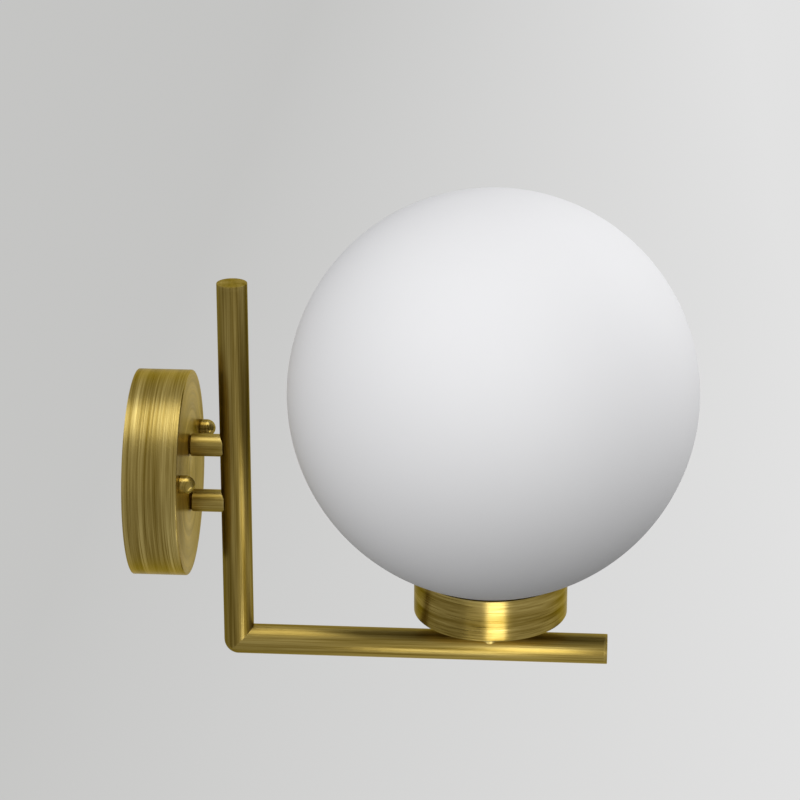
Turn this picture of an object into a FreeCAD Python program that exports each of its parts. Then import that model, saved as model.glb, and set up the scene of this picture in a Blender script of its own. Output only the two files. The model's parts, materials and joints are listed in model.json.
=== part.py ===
import FreeCAD, Part
import math
import os
import types

import Sketcher

# Globe wall sconce: an L-shaped frame of two round brass tubes stands off a round canopy, and
# its lower arm carries a cup, a lampholder with its bulb, and a white glass globe.
#
# All sizes are millimetres. y = 0 is the wall and -Y points out into the room. +Z is up, and
# the origin is the centre of the canopy's back. x = 0 is the plane of symmetry.

SIZES = {
    # canopy, the round cover on the wall
    "canopy_diameter": 101.6,
    "canopy_depth": 26.4,
    "canopy_wall": 1.2,
    "canopy_edge_radius": 0.8,
    # mounting plate on the wall, inside the canopy
    "plate_length": 90,
    "plate_top": 16,
    "plate_bottom": 10,
    "plate_thickness": 2,
    "tongue_width": 26,
    "tongue_top": 39,
    "tongue_bottom": 30,
    "cable_hole_diameter": 14,
    "slot_spacing": 48,
    "slot_length": 14,
    "slot_width": 4.5,
    # the two studs and dome nuts that hold the canopy to the plate
    "stud_spacing": 76,
    "stud_rise": 9,
    "stud_diameter": 4,
    "lock_nut_width": 7,
    "lock_nut_height": 3.2,
    "dome_nut_diameter": 8.8,
    "dome_nut_length": 7.6,
    "dome_nut_bore_depth": 5.5,
    # earth screw on the lower tongue
    "earth_screw_diameter": 4,
    "earth_screw_across": 7,
    "earth_screw_drop": 21,
    "earth_head_diameter": 8,
    "earth_head_height": 2.6,
    "earth_screw_reach": 7,
    "ring_terminal_diameter": 8,
    "ring_terminal_thickness": 0.8,
    "ring_barrel_length": 6,
    "ring_barrel_wall": 0.4,
    "toothed_washer_thickness": 0.8,
    "screw_slot_width": 0.8,
    "screw_slot_depth": 0.8,
    # terminal block on the upper tongue
    "block_width": 25,
    "block_height": 18,
    "block_depth": 13,
    "block_rise": 28,
    "pole_pitch": 8,
    "pole_diameter": 4.4,
    "pole_bore": 2.6,
    "pole_length": 14,
    "pole_stand_off": 5.6,
    "pole_screw_diameter": 2.6,
    "pole_screw_spacing": 8,
    "pole_screw_setback": 1,
    "block_screw_diameter": 3,
    "block_screw_setback": 2,
    # standoffs between the canopy and the riser
    "standoff_diameter": 11.2,
    "standoff_length": 14.9,
    "standoff_seat": 1.8,
    "standoff_edge": 1,
    "standoff_spacing": 29.5,
    "standoff_nipple_diameter": 8,
    "standoff_nipple_bore": 6,
    "standoff_nipple_inside": 8,
    "standoff_nipple_engagement": 12,
    "standoff_washer_diameter": 14,
    "standoff_washer_thickness": 1,
    "standoff_nut_width": 12,
    "standoff_nut_height": 4,
    # riser and arm
    "tube_diameter": 15,
    "tube_wall": 1.5,
    "riser_height": 99,
    "arm_drop": 89.4,
    "arm_reach": 234,
    "end_cap_thickness": 1.6,
    "end_cap_chamfer": 0.3,
    "end_cap_spigot": 6,
    "wire_hole_diameter": 6.4,
    # neck and cup
    "globe_reach": 175.3,
    "neck_diameter": 13,
    "neck_height": 12.3,
    "stem_nipple_diameter": 10,
    "stem_nipple_bore": 7,
    "stem_nipple_engagement": 10,
    "stem_nut_width": 14,
    "stem_nut_height": 3,
    "stem_washer_diameter": 17,
    "cup_diameter": 76.3,
    "cup_height": 21.5,
    "cup_wall": 1.5,
    "cup_edge_radius": 0.8,
    # springs and gasket that hold the globe's neck
    "spring_thickness": 0.5,
    "spring_width": 8,
    "spring_hub_diameter": 24,
    "spring_foot_reach": 26,
    "spring_heel_rise": 2.5,
    "spring_bulge_rise": 9,
    "spring_height": 15,
    "spring_tip_setback": 2.2,
    "gasket_thickness": 2,
    "gasket_width": 5.8,
    # globe
    "globe_diameter": 200,
    "globe_wall": 3,
    "globe_neck_diameter": 70,
    # lampholder
    "holder_diameter": 40,
    "holder_height": 56,
    "holder_foot_diameter": 24,
    "holder_wall": 2.1,
    "holder_floor": 3,
    "holder_cone_rise": 8,
    "holder_inner_cone_rise": 9,
    "holder_cap_height": 24,
    "holder_ledge_rise": 20,
    "holder_ledge_width": 2.3,
    "holder_core_height": 7,
    "holder_rim_opening": 31.2,
    "holder_rim_thickness": 2,
    "holder_edge_radius": 1,
    "holder_terminal_across": 9,
    "holder_terminal_size": 5,
    "holder_terminal_height": 4,
    "holder_screw_diameter": 2.2,
    "holder_screw_proud": 1,
    "shell_bore": 26.9,
    "shell_thickness": 0.5,
    "shell_height": 26,
    "shell_seat_opening": 18,
    "contact_thickness": 0.5,
    "contact_width": 5,
    "contact_half_length": 7,
    "contact_bend": 2.3,
    "contact_rise": 3.2,
    # bulb
    "bulb_diameter": 60,
    "bulb_length": 107,
    "bulb_wall": 1.2,
    "bulb_cap_diameter": 26.4,
    "bulb_cap_length": 27,
    "bulb_cap_wall": 0.4,
    "bulb_thread_pitch": 3.63,
    "bulb_thread_depth": 0.9,
    "bulb_tip_diameter": 9.6,
    "bulb_tip_thickness": 1.2,
    "bulb_tip_chamfer": 1,
    "bulb_insulator_height": 3,
    "bulb_shoulder_diameter": 27.8,
    "bulb_flare_radius": 90,
    "bulb_joint_drop": 13,
    "bulb_board_thickness": 1.6,
    "bulb_board_taper": 1.1,
    # wires
    "wire_diameter": 1.8,
    "wire_pair_spacing": 2.5,
    "wire_bend_radius": 5.5,
    "wire_entry_radius": 7,
    "wire_gather_rise": 12,
    "wire_spread_rise": 8,
    # clearances
    "thread_clearance": 0.03,
    "slip_clearance": 0.1,
    "soft_clearance": 0.3,
    "contact_clearance": 0.3,
}

THREAD_CRESTS = 4
SPRING_ARMS = 3
POLES = (-1, 0, 1)

doc = FreeCAD.newDocument("GlobeWallSconce")


class Size:
    """A length with both its number and the spreadsheet expression that gives it."""

    def __init__(self, value, text):
        self.value = float(value)
        self.text = text

    def __add__(self, other):
        return Size(self.value + number(other), f"({self.text} + {words(other)})")

    def __radd__(self, other):
        return Size(number(other) + self.value, f"({words(other)} + {self.text})")

    def __sub__(self, other):
        return Size(self.value - number(other), f"({self.text} - {words(other)})")

    def __rsub__(self, other):
        return Size(number(other) - self.value, f"({words(other)} - {self.text})")

    def __mul__(self, other):
        return Size(self.value * number(other), f"({self.text} * {words(other)})")

    def __rmul__(self, other):
        return Size(number(other) * self.value, f"({words(other)} * {self.text})")

    def __truediv__(self, other):
        return Size(self.value / number(other), f"({self.text} / {words(other)})")

    def __neg__(self):
        return Size(-self.value, f"(0 - {self.text})")


def number(length):
    return length.value if isinstance(length, Size) else float(length)


def words(length):
    return length.text if isinstance(length, Size) else repr(float(length))


def root(length):
    return Size(math.sqrt(number(length)), f"sqrt({words(length)})")


def driving_sizes():
    """Put every driving size in the document's sheet and hand them back by name."""
    sheet = doc.addObject("Spreadsheet::Sheet", "Sizes")
    named = {}
    for row, (name, value) in enumerate(SIZES.items(), start=1):
        sheet.set(f"A{row}", name)
        sheet.set(f"B{row}", str(value))
        sheet.setAlias(f"B{row}", name)
        named[name] = Size(value, f"Sizes.{name}")
    doc.recompute()
    return types.SimpleNamespace(**named)


mm = driving_sizes()

# ---------------------------------------------------------------- places worked out from the sizes

tube_radius = mm.tube_diameter / 2
tube_bore_radius = tube_radius - mm.tube_wall
canopy_radius = mm.canopy_diameter / 2
riser_reach = mm.canopy_depth + mm.standoff_length + tube_radius
standoff_rise = mm.standoff_spacing / 2
stud_across = mm.stud_spacing / 2

cup_radius = mm.cup_diameter / 2
cup_bore_radius = cup_radius - mm.cup_wall
cup_base = tube_radius + mm.neck_height - mm.arm_drop
cup_floor = cup_base + mm.cup_wall
cup_rim = cup_base + mm.cup_height

globe_radius = mm.globe_diameter / 2
globe_bore_radius = globe_radius - mm.globe_wall
globe_neck_radius = mm.globe_neck_diameter / 2
globe_mouth_radius = globe_neck_radius - mm.globe_wall
globe_centre = (
    cup_rim
    + mm.soft_clearance
    + root(globe_radius * globe_radius - cup_bore_radius * cup_bore_radius)
)
globe_foot = cup_floor + mm.gasket_thickness + mm.soft_clearance

stem_radius = mm.stem_nipple_diameter / 2
stem_foot = cup_base - mm.stem_nipple_engagement
holder_base = (
    cup_floor + mm.spring_thickness + mm.toothed_washer_thickness + mm.stem_nut_height
)
stem_top = holder_base + mm.holder_floor + mm.thread_clearance
holder_radius = mm.holder_diameter / 2
holder_bore_radius = holder_radius - mm.holder_wall
core_base = holder_base + mm.holder_ledge_rise
core_top = core_base + mm.holder_core_height
bulb_tip_height = core_top + mm.contact_rise + mm.contact_thickness + mm.contact_clearance

bulb_radius = mm.bulb_diameter / 2
bulb_cap_radius = mm.bulb_cap_diameter / 2
bulb_cap_foot = bulb_tip_height + mm.bulb_tip_thickness + mm.bulb_insulator_height
bulb_cap_head = bulb_tip_height + mm.bulb_cap_length
bulb_centre = bulb_tip_height + mm.bulb_length - bulb_radius
bulb_joint = bulb_centre - mm.bulb_joint_drop
bulb_joint_radius = root(bulb_radius * bulb_radius - mm.bulb_joint_drop * mm.bulb_joint_drop)

block_face = mm.plate_thickness + mm.block_depth
pole_depth = mm.plate_thickness + mm.pole_stand_off
pole_radius = mm.pole_diameter / 2


# ---------------------------------------------------------------- helpers: binding and placing

TURNS = {
    "up": FreeCAD.Rotation(),
    "out": FreeCAD.Rotation(FreeCAD.Vector(1, 0, 0), 90),
    "side": FreeCAD.Rotation(FreeCAD.Vector(0, 1, 0), 90),
}


def bind(item, field, length):
    """Tie a property to the sheet, or set it where the value is a plain number."""
    if isinstance(length, Size):
        item.setExpression(field, length.text)
    elif "." not in field:
        setattr(item, field, float(length))


def place(item, x=0, y=0, z=0, facing="up"):
    """Put an item's own origin at (x, y, z), with its own +Z axis facing up, out or sideways."""
    base = FreeCAD.Vector(number(x), number(y), number(z))
    item.Placement = FreeCAD.Placement(base, TURNS[facing])
    bind(item, "Placement.Base.x", x)
    bind(item, "Placement.Base.y", y)
    bind(item, "Placement.Base.z", z)
    return item


def finish(item, label):
    item.Label = label
    return item


# ---------------------------------------------------------------- helpers: primitives and booleans


def cylinder(radius, length, x=0, y=0, z=0, facing="up"):
    item = doc.addObject("Part::Cylinder", "cylinder")
    bind(item, "Radius", radius)
    bind(item, "Height", length)
    return place(item, x, y, z, facing)


def hexagon(width, length, x=0, y=0, z=0, facing="up"):
    """A hexagonal prism, measured across its flats."""
    item = doc.addObject("Part::Prism", "hexagon")
    item.Polygon = 6
    bind(item, "Circumradius", width / math.sqrt(3))
    bind(item, "Height", length)
    return place(item, x, y, z, facing)


def block(width, depth, height, x=0, y=0, z=0):
    """A box whose lowest corner is at (x, y, z)."""
    item = doc.addObject("Part::Box", "block")
    bind(item, "Length", width)
    bind(item, "Width", depth)
    bind(item, "Height", height)
    return place(item, x, y, z)


def sphere(radius, x=0, y=0, z=0):
    item = doc.addObject("Part::Sphere", "sphere")
    bind(item, "Radius", radius)
    return place(item, x, y, z)


def joined(*items):
    item = doc.addObject("Part::MultiFuse", "joined")
    item.Shapes = list(items)
    return item


def cut(base, *tools):
    item = doc.addObject("Part::Cut", "cut")
    item.Base = base
    item.Tool = joined(*tools) if len(tools) > 1 else tools[0]
    return item


def group(label, items):
    """Several separate solids that share one name."""
    item = doc.addObject("Part::Compound", "group")
    item.Links = list(items)
    return finish(item, label)


# ---------------------------------------------------------------- helpers: bodies and sketches


def new_body(label, x=0, y=0, z=0):
    body = doc.addObject("PartDesign::Body", "Body")
    body.Label = label
    return place(body, x, y, z)


def sketch_on(body, plane):
    """A sketch on one of the body's own origin planes."""
    sketch = body.newObject("Sketcher::SketchObject", "Sketch")
    planes = {feature.Role: feature for feature in body.Origin.OriginFeatures}
    sketch.AttachmentSupport = (planes[plane], [""])
    sketch.MapMode = "FlatFace"
    return sketch


def hold(sketch, kind, *where, value):
    """Add a measured constraint and tie it to the sheet."""
    index = sketch.addConstraint(Sketcher.Constraint(kind, *where, number(value)))
    if isinstance(value, Size):
        sketch.setExpression(f"Constraints[{index}]", value.text)


def hold_point(sketch, edge, end, x, y):
    """Hold a point by its distances from the sketch's origin."""
    for kind, axis, value in (("DistanceX", -2, x), ("DistanceY", -1, y)):
        if number(value) == 0:
            sketch.addConstraint(Sketcher.Constraint("PointOnObject", edge, end, axis))
        else:
            hold(sketch, kind, -1, 1, edge, end, value=value)


def arc_between(start, end, radius):
    """An arc of less than half a turn; a negative radius makes it run clockwise."""
    chord = end - start
    to_left = FreeCAD.Vector(-chord.y, chord.x, 0).normalize()
    reach = math.sqrt(max(radius * radius - chord.Length**2 / 4, 0))
    centre = (start + end) * 0.5 + to_left * math.copysign(reach, radius)
    first, last = (start, end) if radius > 0 else (end, start)
    angles = [math.atan2(p.y - centre.y, p.x - centre.x) for p in (first, last)]
    circle = Part.Circle(centre, FreeCAD.Vector(0, 0, 1), abs(radius))
    return Part.ArcOfCircle(circle, angles[0], angles[1])


def outline(sketch, stations):
    """A closed outline. A station (x, y) ends a straight edge, and (x, y, radius) ends an arc."""
    points = [FreeCAD.Vector(number(s[0]), number(s[1]), 0) for s in stations]
    ends = []
    for index, station in enumerate(stations):
        start = points[index - 1]
        if len(station) == 2:
            edge = sketch.addGeometry(Part.LineSegment(start, points[index]))
            ends.append((edge, 1, 2))
            continue
        edge = sketch.addGeometry(arc_between(start, points[index], number(station[2])))
        ends.append((edge, 1, 2) if number(station[2]) > 0 else (edge, 2, 1))
    for index, (edge, _, last) in enumerate(ends):
        following, first, _ = ends[(index + 1) % len(ends)]
        sketch.addConstraint(Sketcher.Constraint("Coincident", edge, last, following, first))
        hold_point(sketch, edge, last, stations[index][0], stations[index][1])
        if len(stations[index]) == 3:
            radius = stations[index][2]
            hold(sketch, "Radius", edge, value=radius if number(radius) > 0 else -radius)


def circle_in(sketch, radius, x=0, y=0):
    centre = FreeCAD.Vector(number(x), number(y), 0)
    edge = sketch.addGeometry(Part.Circle(centre, FreeCAD.Vector(0, 0, 1), number(radius)))
    hold(sketch, "Radius", edge, value=radius)
    hold_point(sketch, edge, 3, x, y)


def slot_in(sketch, x, length, width):
    """A round-ended slot along the sketch's X axis, centred on (x, 0)."""
    end_radius = width / 2
    straight = length / 2 - end_radius
    outline(
        sketch,
        [
            (x + straight, end_radius),
            (x + straight + end_radius, 0, -end_radius),
            (x + straight, -end_radius, -end_radius),
            (x - straight, -end_radius),
            (x - straight - end_radius, 0, -end_radius),
            (x - straight, end_radius, -end_radius),
        ],
    )


def revolve(body, stations, plane="XZ_Plane"):
    """Turn an outline of (radius, height) stations a full turn about the sketch's Y axis."""
    sketch = sketch_on(body, plane)
    outline(sketch, stations)
    feature = body.newObject("PartDesign::Revolution", "Revolution")
    feature.Profile = sketch
    feature.ReferenceAxis = (sketch, ["V_Axis"])
    feature.Angle = 360
    body.Tip = feature
    return feature


def pad(body, sketch, length):
    feature = body.newObject("PartDesign::Pad", "Pad")
    feature.Profile = sketch
    bind(feature, "Length", length)
    body.Tip = feature
    return feature


def pad_both_ways(body, sketch, length):
    feature = pad(body, sketch, length)
    feature.Midplane = True
    return feature


def pocket_through(body, sketch):
    """Cut a sketch's outlines through the whole body, both ways from its plane."""
    feature = body.newObject("PartDesign::Pocket", "Pocket")
    feature.Profile = sketch
    feature.Type = "ThroughAll"
    feature.Midplane = True
    body.Tip = feature
    return feature


def turned(label, stations, reach=mm.globe_reach):
    """A piece turned about the globe's upright axis, from (radius, height) stations."""
    body = new_body(label, y=-reach)
    revolve(body, stations)
    return body


# ---------------------------------------------------------------- helper: wires


def rounded_path(points, radii):
    """Straight runs between the points, joined at each inner point by a tangent arc."""
    edges = []
    start = points[0]
    for before, corner, after, radius in zip(points, points[1:], points[2:], radii):
        arriving = (corner - before).normalize()
        leaving = (after - corner).normalize()
        half_turn = arriving.getAngle(leaving) / 2
        tangent = radius * math.tan(half_turn)
        arc_start = corner - arriving * tangent
        arc_end = corner + leaving * tangent
        bulge = (leaving - arriving).normalize()
        middle = corner + bulge * (radius / math.cos(half_turn) - radius)
        edges.append(Part.LineSegment(start, arc_start).toShape())
        edges.append(Part.Arc(arc_start, middle, arc_end).toShape())
        start = arc_end
    edges.append(Part.LineSegment(start, points[-1]).toShape())
    return Part.Wire(edges)


def insulated_wire(label, route, radii):
    """A round wire along a route of (x, y, z) points."""
    points = [FreeCAD.Vector(*[number(value) for value in point]) for point in route]
    path = rounded_path(points, [number(radius) for radius in radii])
    radius = mm.wire_diameter.value / 2
    section = Part.Wire([Part.Circle(points[0], points[1] - points[0], radius).toShape()])
    sweep = path.makePipeShell([section], True, False)
    item = doc.addObject("Part::Feature", "wire")
    item.Shape = sweep if sweep.ShapeType == "Solid" else Part.Solid(sweep)
    expected = math.pi * radius**2 * path.Length
    print(f"{label}: length {path.Length:.1f}, volume over section x length",
          round(item.Shape.Volume / expected, 5), "radii", [number(r) for r in radii])
    return finish(item, label)


# ---------------------------------------------------------------- on the wall


def mounting_plate():
    body = new_body("mounting_plate")
    half_length = mm.plate_length / 2
    top = mm.plate_top
    bottom = -mm.plate_bottom
    half_tongue = mm.tongue_width / 2
    sketch = sketch_on(body, "XZ_Plane")
    outline(
        sketch,
        [
            (half_length, top),
            (half_length, bottom),
            (half_tongue, bottom),
            (half_tongue, -mm.tongue_bottom),
            (-half_tongue, -mm.tongue_bottom),
            (-half_tongue, bottom),
            (-half_length, bottom),
            (-half_length, top),
            (-half_tongue, top),
            (-half_tongue, mm.tongue_top),
            (half_tongue, mm.tongue_top),
            (half_tongue, top),
        ],
    )
    pad(body, sketch, mm.plate_thickness)
    holes = sketch_on(body, "XZ_Plane")
    circle_in(holes, mm.cable_hole_diameter / 2)
    stud_hole = mm.stud_diameter / 2 + mm.thread_clearance
    circle_in(holes, stud_hole, stud_across, mm.stud_rise)
    circle_in(holes, stud_hole, -stud_across, mm.stud_rise)
    slot_in(holes, mm.slot_spacing / 2, mm.slot_length, mm.slot_width)
    slot_in(holes, -mm.slot_spacing / 2, mm.slot_length, mm.slot_width)
    earth_hole = mm.earth_screw_diameter / 2 + mm.thread_clearance
    circle_in(holes, earth_hole, -mm.earth_screw_across, -mm.earth_screw_drop)
    block_hole = mm.block_screw_diameter / 2 + mm.thread_clearance
    circle_in(holes, block_hole, mm.pole_pitch / 2, mm.block_rise)
    pocket_through(body, holes)
    return body


def canopy_studs():
    reach = mm.canopy_depth + mm.dome_nut_bore_depth - mm.slip_clearance
    studs = [
        cylinder(mm.stud_diameter / 2, reach, side * stud_across, 0, mm.stud_rise, "out")
        for side in (1, -1)
    ]
    return group("canopy_studs", studs)


def nut(width, height, bore_radius, x, y, z, facing):
    """A hexagon nut whose bearing face is at (x, y, z)."""
    return cut(
        hexagon(width, height, x, y, z, facing),
        cylinder(bore_radius, height, x, y, z, facing),
    )


def stud_lock_nuts():
    bore = mm.stud_diameter / 2 + mm.thread_clearance
    nuts = [
        nut(mm.lock_nut_width, mm.lock_nut_height, bore,
            side * stud_across, -mm.plate_thickness, mm.stud_rise, "out")
        for side in (1, -1)
    ]
    return group("stud_lock_nuts", nuts)


def canopy():
    body = new_body("canopy")
    inner = canopy_radius - mm.canopy_wall
    edge = mm.canopy_edge_radius
    revolve(
        body,
        [
            (0, -mm.canopy_depth),
            (canopy_radius - edge, -mm.canopy_depth),
            (canopy_radius, edge - mm.canopy_depth, edge),
            (canopy_radius, 0),
            (inner, 0),
            (inner, mm.canopy_wall - mm.canopy_depth),
            (0, mm.canopy_wall - mm.canopy_depth),
        ],
        plane="XY_Plane",
    )
    holes = sketch_on(body, "XZ_Plane")
    stud_hole = mm.stud_diameter / 2 + mm.slip_clearance
    nipple_hole = mm.standoff_nipple_diameter / 2 + mm.slip_clearance
    for side in (1, -1):
        circle_in(holes, stud_hole, side * stud_across, mm.stud_rise)
        circle_in(holes, nipple_hole, 0, side * standoff_rise)
    pocket_through(body, holes)
    return body


def dome_nuts():
    radius = mm.dome_nut_diameter / 2
    bore = mm.stud_diameter / 2 + mm.thread_clearance
    nuts = []
    for side in (1, -1):
        body = new_body("dome_nut", side * stud_across, -mm.canopy_depth, mm.stud_rise)
        revolve(
            body,
            [
                (bore, 0),
                (bore, -mm.dome_nut_bore_depth),
                (0, -mm.dome_nut_bore_depth),
                (0, -mm.dome_nut_length),
                (radius, radius - mm.dome_nut_length, radius),
                (radius, 0),
            ],
            plane="XY_Plane",
        )
        nuts.append(body)
    return group("dome_nuts", nuts)


# ---------------------------------------------------------------- earth connection


def screw_slot(width, x, y, z):
    """The slot across a screw head that faces the room, from its face at y inwards."""
    return block(width, mm.screw_slot_depth, mm.screw_slot_width,
                 x - width / 2, y, z - mm.screw_slot_width / 2)


def earth_stack():
    """Screw, toothed washer and ring terminal, at the lower tongue."""
    x = -mm.earth_screw_across
    z = -mm.earth_screw_drop
    shank = mm.earth_screw_diameter / 2
    washer_face = -mm.plate_thickness
    terminal_face = washer_face - mm.toothed_washer_thickness
    head_face = terminal_face - mm.ring_terminal_thickness
    washer_bore = shank + mm.slip_clearance
    head_radius = mm.earth_head_diameter / 2

    screw = joined(
        cylinder(shank, mm.earth_screw_reach, x, 0, z, "out"),
        cylinder(head_radius, mm.earth_head_height, x, head_face, z, "out"),
    )
    slot = screw_slot(mm.earth_head_diameter, x, head_face - mm.earth_head_height, z)
    screw = finish(cut(screw, slot), "earth_screw")

    washer = cut(
        cylinder(head_radius, mm.toothed_washer_thickness, x, washer_face, z, "out"),
        cylinder(washer_bore, mm.toothed_washer_thickness, x, washer_face, z, "out"),
    )
    finish(washer, "earth_washer")

    ring_radius = mm.ring_terminal_diameter / 2
    barrel_radius = mm.wire_diameter / 2 + mm.ring_barrel_wall
    barrel_base = z + ring_radius - mm.ring_barrel_wall
    barrel_y = terminal_face - barrel_radius - mm.slip_clearance
    wire_end = barrel_base + mm.ring_barrel_length / 4
    ring = cut(
        joined(
            cylinder(ring_radius, mm.ring_terminal_thickness, x, terminal_face, z, "out"),
            cylinder(barrel_radius, mm.ring_barrel_length, x, barrel_y, barrel_base),
        ),
        cylinder(washer_bore, mm.ring_terminal_thickness, x, terminal_face, z, "out"),
        cylinder(mm.wire_diameter / 2 + mm.thread_clearance, mm.ring_barrel_length,
                 x, barrel_y, wire_end),
        cylinder(head_radius + mm.slip_clearance, mm.earth_head_height,
                 x, head_face, z, "out"),
    )
    finish(ring, "earth_ring_terminal")
    return [screw, washer, ring], (x, barrel_y, wire_end)


# ---------------------------------------------------------------- terminal block


def terminal_block():
    body = cut(
        block(mm.block_width, mm.block_depth, mm.block_height,
              -mm.block_width / 2, -block_face, mm.block_rise - mm.block_height / 2),
        *[
            cylinder(pole_radius + mm.thread_clearance, mm.block_height,
                     pole * mm.pole_pitch, -pole_depth, mm.block_rise - mm.block_height / 2)
            for pole in POLES
        ],
        *[
            cylinder(mm.pole_screw_diameter / 2 + mm.thread_clearance, mm.block_depth,
                     pole * mm.pole_pitch, -pole_depth, screw_height(end), "out")
            for pole in POLES
            for end in (1, -1)
        ],
        cylinder(mm.block_screw_diameter / 2 + mm.thread_clearance, mm.block_depth,
                 mm.pole_pitch / 2, -mm.plate_thickness, mm.block_rise, "out"),
    )
    return finish(body, "terminal_block")


def screw_height(end):
    return mm.block_rise + end * mm.pole_screw_spacing / 2


def terminal_inserts():
    base = mm.block_rise - mm.pole_length / 2
    inserts = [
        cut(
            cylinder(pole_radius, mm.pole_length, pole * mm.pole_pitch, -pole_depth, base),
            cylinder(mm.pole_bore / 2, mm.pole_length, pole * mm.pole_pitch, -pole_depth, base),
            *[
                cylinder(mm.pole_screw_diameter / 2 + mm.thread_clearance, mm.pole_diameter,
                         pole * mm.pole_pitch, -pole_depth, screw_height(end), "out")
                for end in (1, -1)
            ],
        )
        for pole in POLES
    ]
    return group("terminal_inserts", inserts)


def terminal_screws():
    """Clamping screws; each presses on the wire or stops at the same depth in an empty bore."""
    foot = pole_depth + mm.wire_diameter / 2
    length = block_face - foot - mm.pole_screw_setback
    screws = [
        cut(
            cylinder(mm.pole_screw_diameter / 2, length,
                     pole * mm.pole_pitch, -foot, screw_height(end), "out"),
            screw_slot(mm.pole_screw_diameter, pole * mm.pole_pitch,
                       -foot - length, screw_height(end)),
        )
        for pole in POLES
        for end in (1, -1)
    ]
    return group("terminal_screws", screws)


def terminal_block_screw():
    length = block_face - mm.block_screw_setback
    across = mm.pole_pitch / 2
    screw = cut(
        cylinder(mm.block_screw_diameter / 2, length, across, 0, mm.block_rise, "out"),
        screw_slot(mm.block_screw_diameter, across, -length, mm.block_rise),
    )
    return finish(screw, "terminal_block_screw")


# ---------------------------------------------------------------- standoffs


def standoffs():
    """Two turned sleeves, seated on the riser and threaded for the hollow nipples."""
    names = {1: "standoff_upper", -1: "standoff_lower"}
    sleeves = []
    radius = mm.standoff_diameter / 2
    bore = mm.standoff_nipple_diameter / 2 + mm.thread_clearance
    length = mm.standoff_length + mm.standoff_seat
    for side, label in names.items():
        z = side * standoff_rise
        body = new_body("sleeve", 0, -mm.canopy_depth, z)
        revolve(
            body,
            [
                (bore, 0),
                (radius - mm.standoff_edge, 0),
                (radius, -mm.standoff_edge),
                (radius, -length),
                (bore, -length),
            ],
            plane="XY_Plane",
        )
        seat = cylinder(tube_radius, mm.tube_diameter, 0, -riser_reach, z - tube_radius)
        sleeves.append(finish(cut(body, seat), label))
    return sleeves


def standoff_nipples():
    names = {1: "standoff_nipple_upper", -1: "standoff_nipple_lower"}
    inner_face = mm.canopy_depth - mm.canopy_wall
    start = mm.standoff_nipple_inside - inner_face
    length = mm.standoff_nipple_inside + mm.canopy_wall + mm.standoff_nipple_engagement
    nipples = []
    for side, label in names.items():
        z = side * standoff_rise
        nipple = cut(
            cylinder(mm.standoff_nipple_diameter / 2, length, 0, start, z, "out"),
            cylinder(mm.standoff_nipple_bore / 2, length, 0, start, z, "out"),
        )
        nipples.append(finish(nipple, label))
    return nipples


def standoff_washers():
    thickness = mm.standoff_washer_thickness
    start = mm.canopy_wall - mm.canopy_depth + thickness
    bore = mm.standoff_nipple_diameter / 2 + mm.slip_clearance
    washers = [
        cut(
            cylinder(mm.standoff_washer_diameter / 2, thickness,
                     0, start, side * standoff_rise, "out"),
            cylinder(bore, thickness, 0, start, side * standoff_rise, "out"),
        )
        for side in (1, -1)
    ]
    return group("standoff_washers", washers)


def standoff_nuts():
    start = (
        mm.canopy_wall - mm.canopy_depth + mm.standoff_washer_thickness + mm.standoff_nut_height
    )
    bore = mm.standoff_nipple_diameter / 2 + mm.thread_clearance
    nuts = [
        nut(mm.standoff_nut_width, mm.standoff_nut_height, bore,
            0, start, side * standoff_rise, "out")
        for side in (1, -1)
    ]
    return group("standoff_nuts", nuts)


# ---------------------------------------------------------------- riser and arm


def mitre_block(side):
    """The half-space on one side of the 45 degree plane through the corner of the frame."""
    reach = 4 * number(tube_radius)
    item = doc.addObject("Part::Box", "mitre")
    bind(item, "Length", 8 * tube_radius)
    bind(item, "Width", 8 * tube_radius)
    bind(item, "Height", 4 * tube_radius)
    turn = FreeCAD.Rotation(FreeCAD.Vector(1, 0, 0), -45 if side > 0 else 135)
    corner = FreeCAD.Vector(0, -number(riser_reach), -number(mm.arm_drop))
    low = FreeCAD.Vector(-reach, -reach, 0)
    item.Placement = FreeCAD.Placement(corner + turn.multVec(low), turn)
    return item


def frame_tube(label, side, length_above, facing, wire_hole):
    """A mitred tube of the frame: a shell whose outer corner is rounded like a ball."""
    corner = (0, -riser_reach, -mm.arm_drop)
    outside = joined(
        cylinder(tube_radius, length_above, *corner, facing), sphere(tube_radius, *corner)
    )
    inside = joined(
        cylinder(tube_bore_radius, length_above, *corner, facing),
        sphere(tube_bore_radius, *corner),
    )
    tube = cut(outside, inside, mitre_block(side), wire_hole)
    return finish(tube, label)


def riser_tube():
    """Upright tube; the lower standoff's wires enter through a hole in its back."""
    wire_hole = cylinder(mm.wire_hole_diameter / 2, tube_radius,
                         0, tube_radius - riser_reach, -standoff_rise, "out")
    length = mm.arm_drop + mm.riser_height - mm.end_cap_thickness
    return frame_tube("riser_tube", -1, length, "up", wire_hole)


def arm_tube():
    """Level tube; the wires leave through a hole in its top, under the cup."""
    wire_hole = cylinder(mm.wire_hole_diameter / 2, tube_radius,
                         0, -mm.globe_reach, -mm.arm_drop)
    length = mm.arm_reach - riser_reach - mm.end_cap_thickness
    return frame_tube("arm_tube", 1, length, "out", wire_hole)


def end_cap(label, x, y, z, facing):
    """A flat cap with a chamfered edge and a spigot that plugs the tube."""
    cap = new_body(label)
    spigot = tube_bore_radius - mm.thread_clearance
    chamfer = mm.end_cap_chamfer
    revolve(
        cap,
        [
            (0, mm.end_cap_thickness),
            (0, -mm.end_cap_spigot),
            (spigot, -mm.end_cap_spigot),
            (spigot, 0),
            (tube_radius, 0),
            (tube_radius, mm.end_cap_thickness - chamfer),
            (tube_radius - chamfer, mm.end_cap_thickness),
        ],
    )
    return place(cap, x, y, z, facing)


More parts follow.
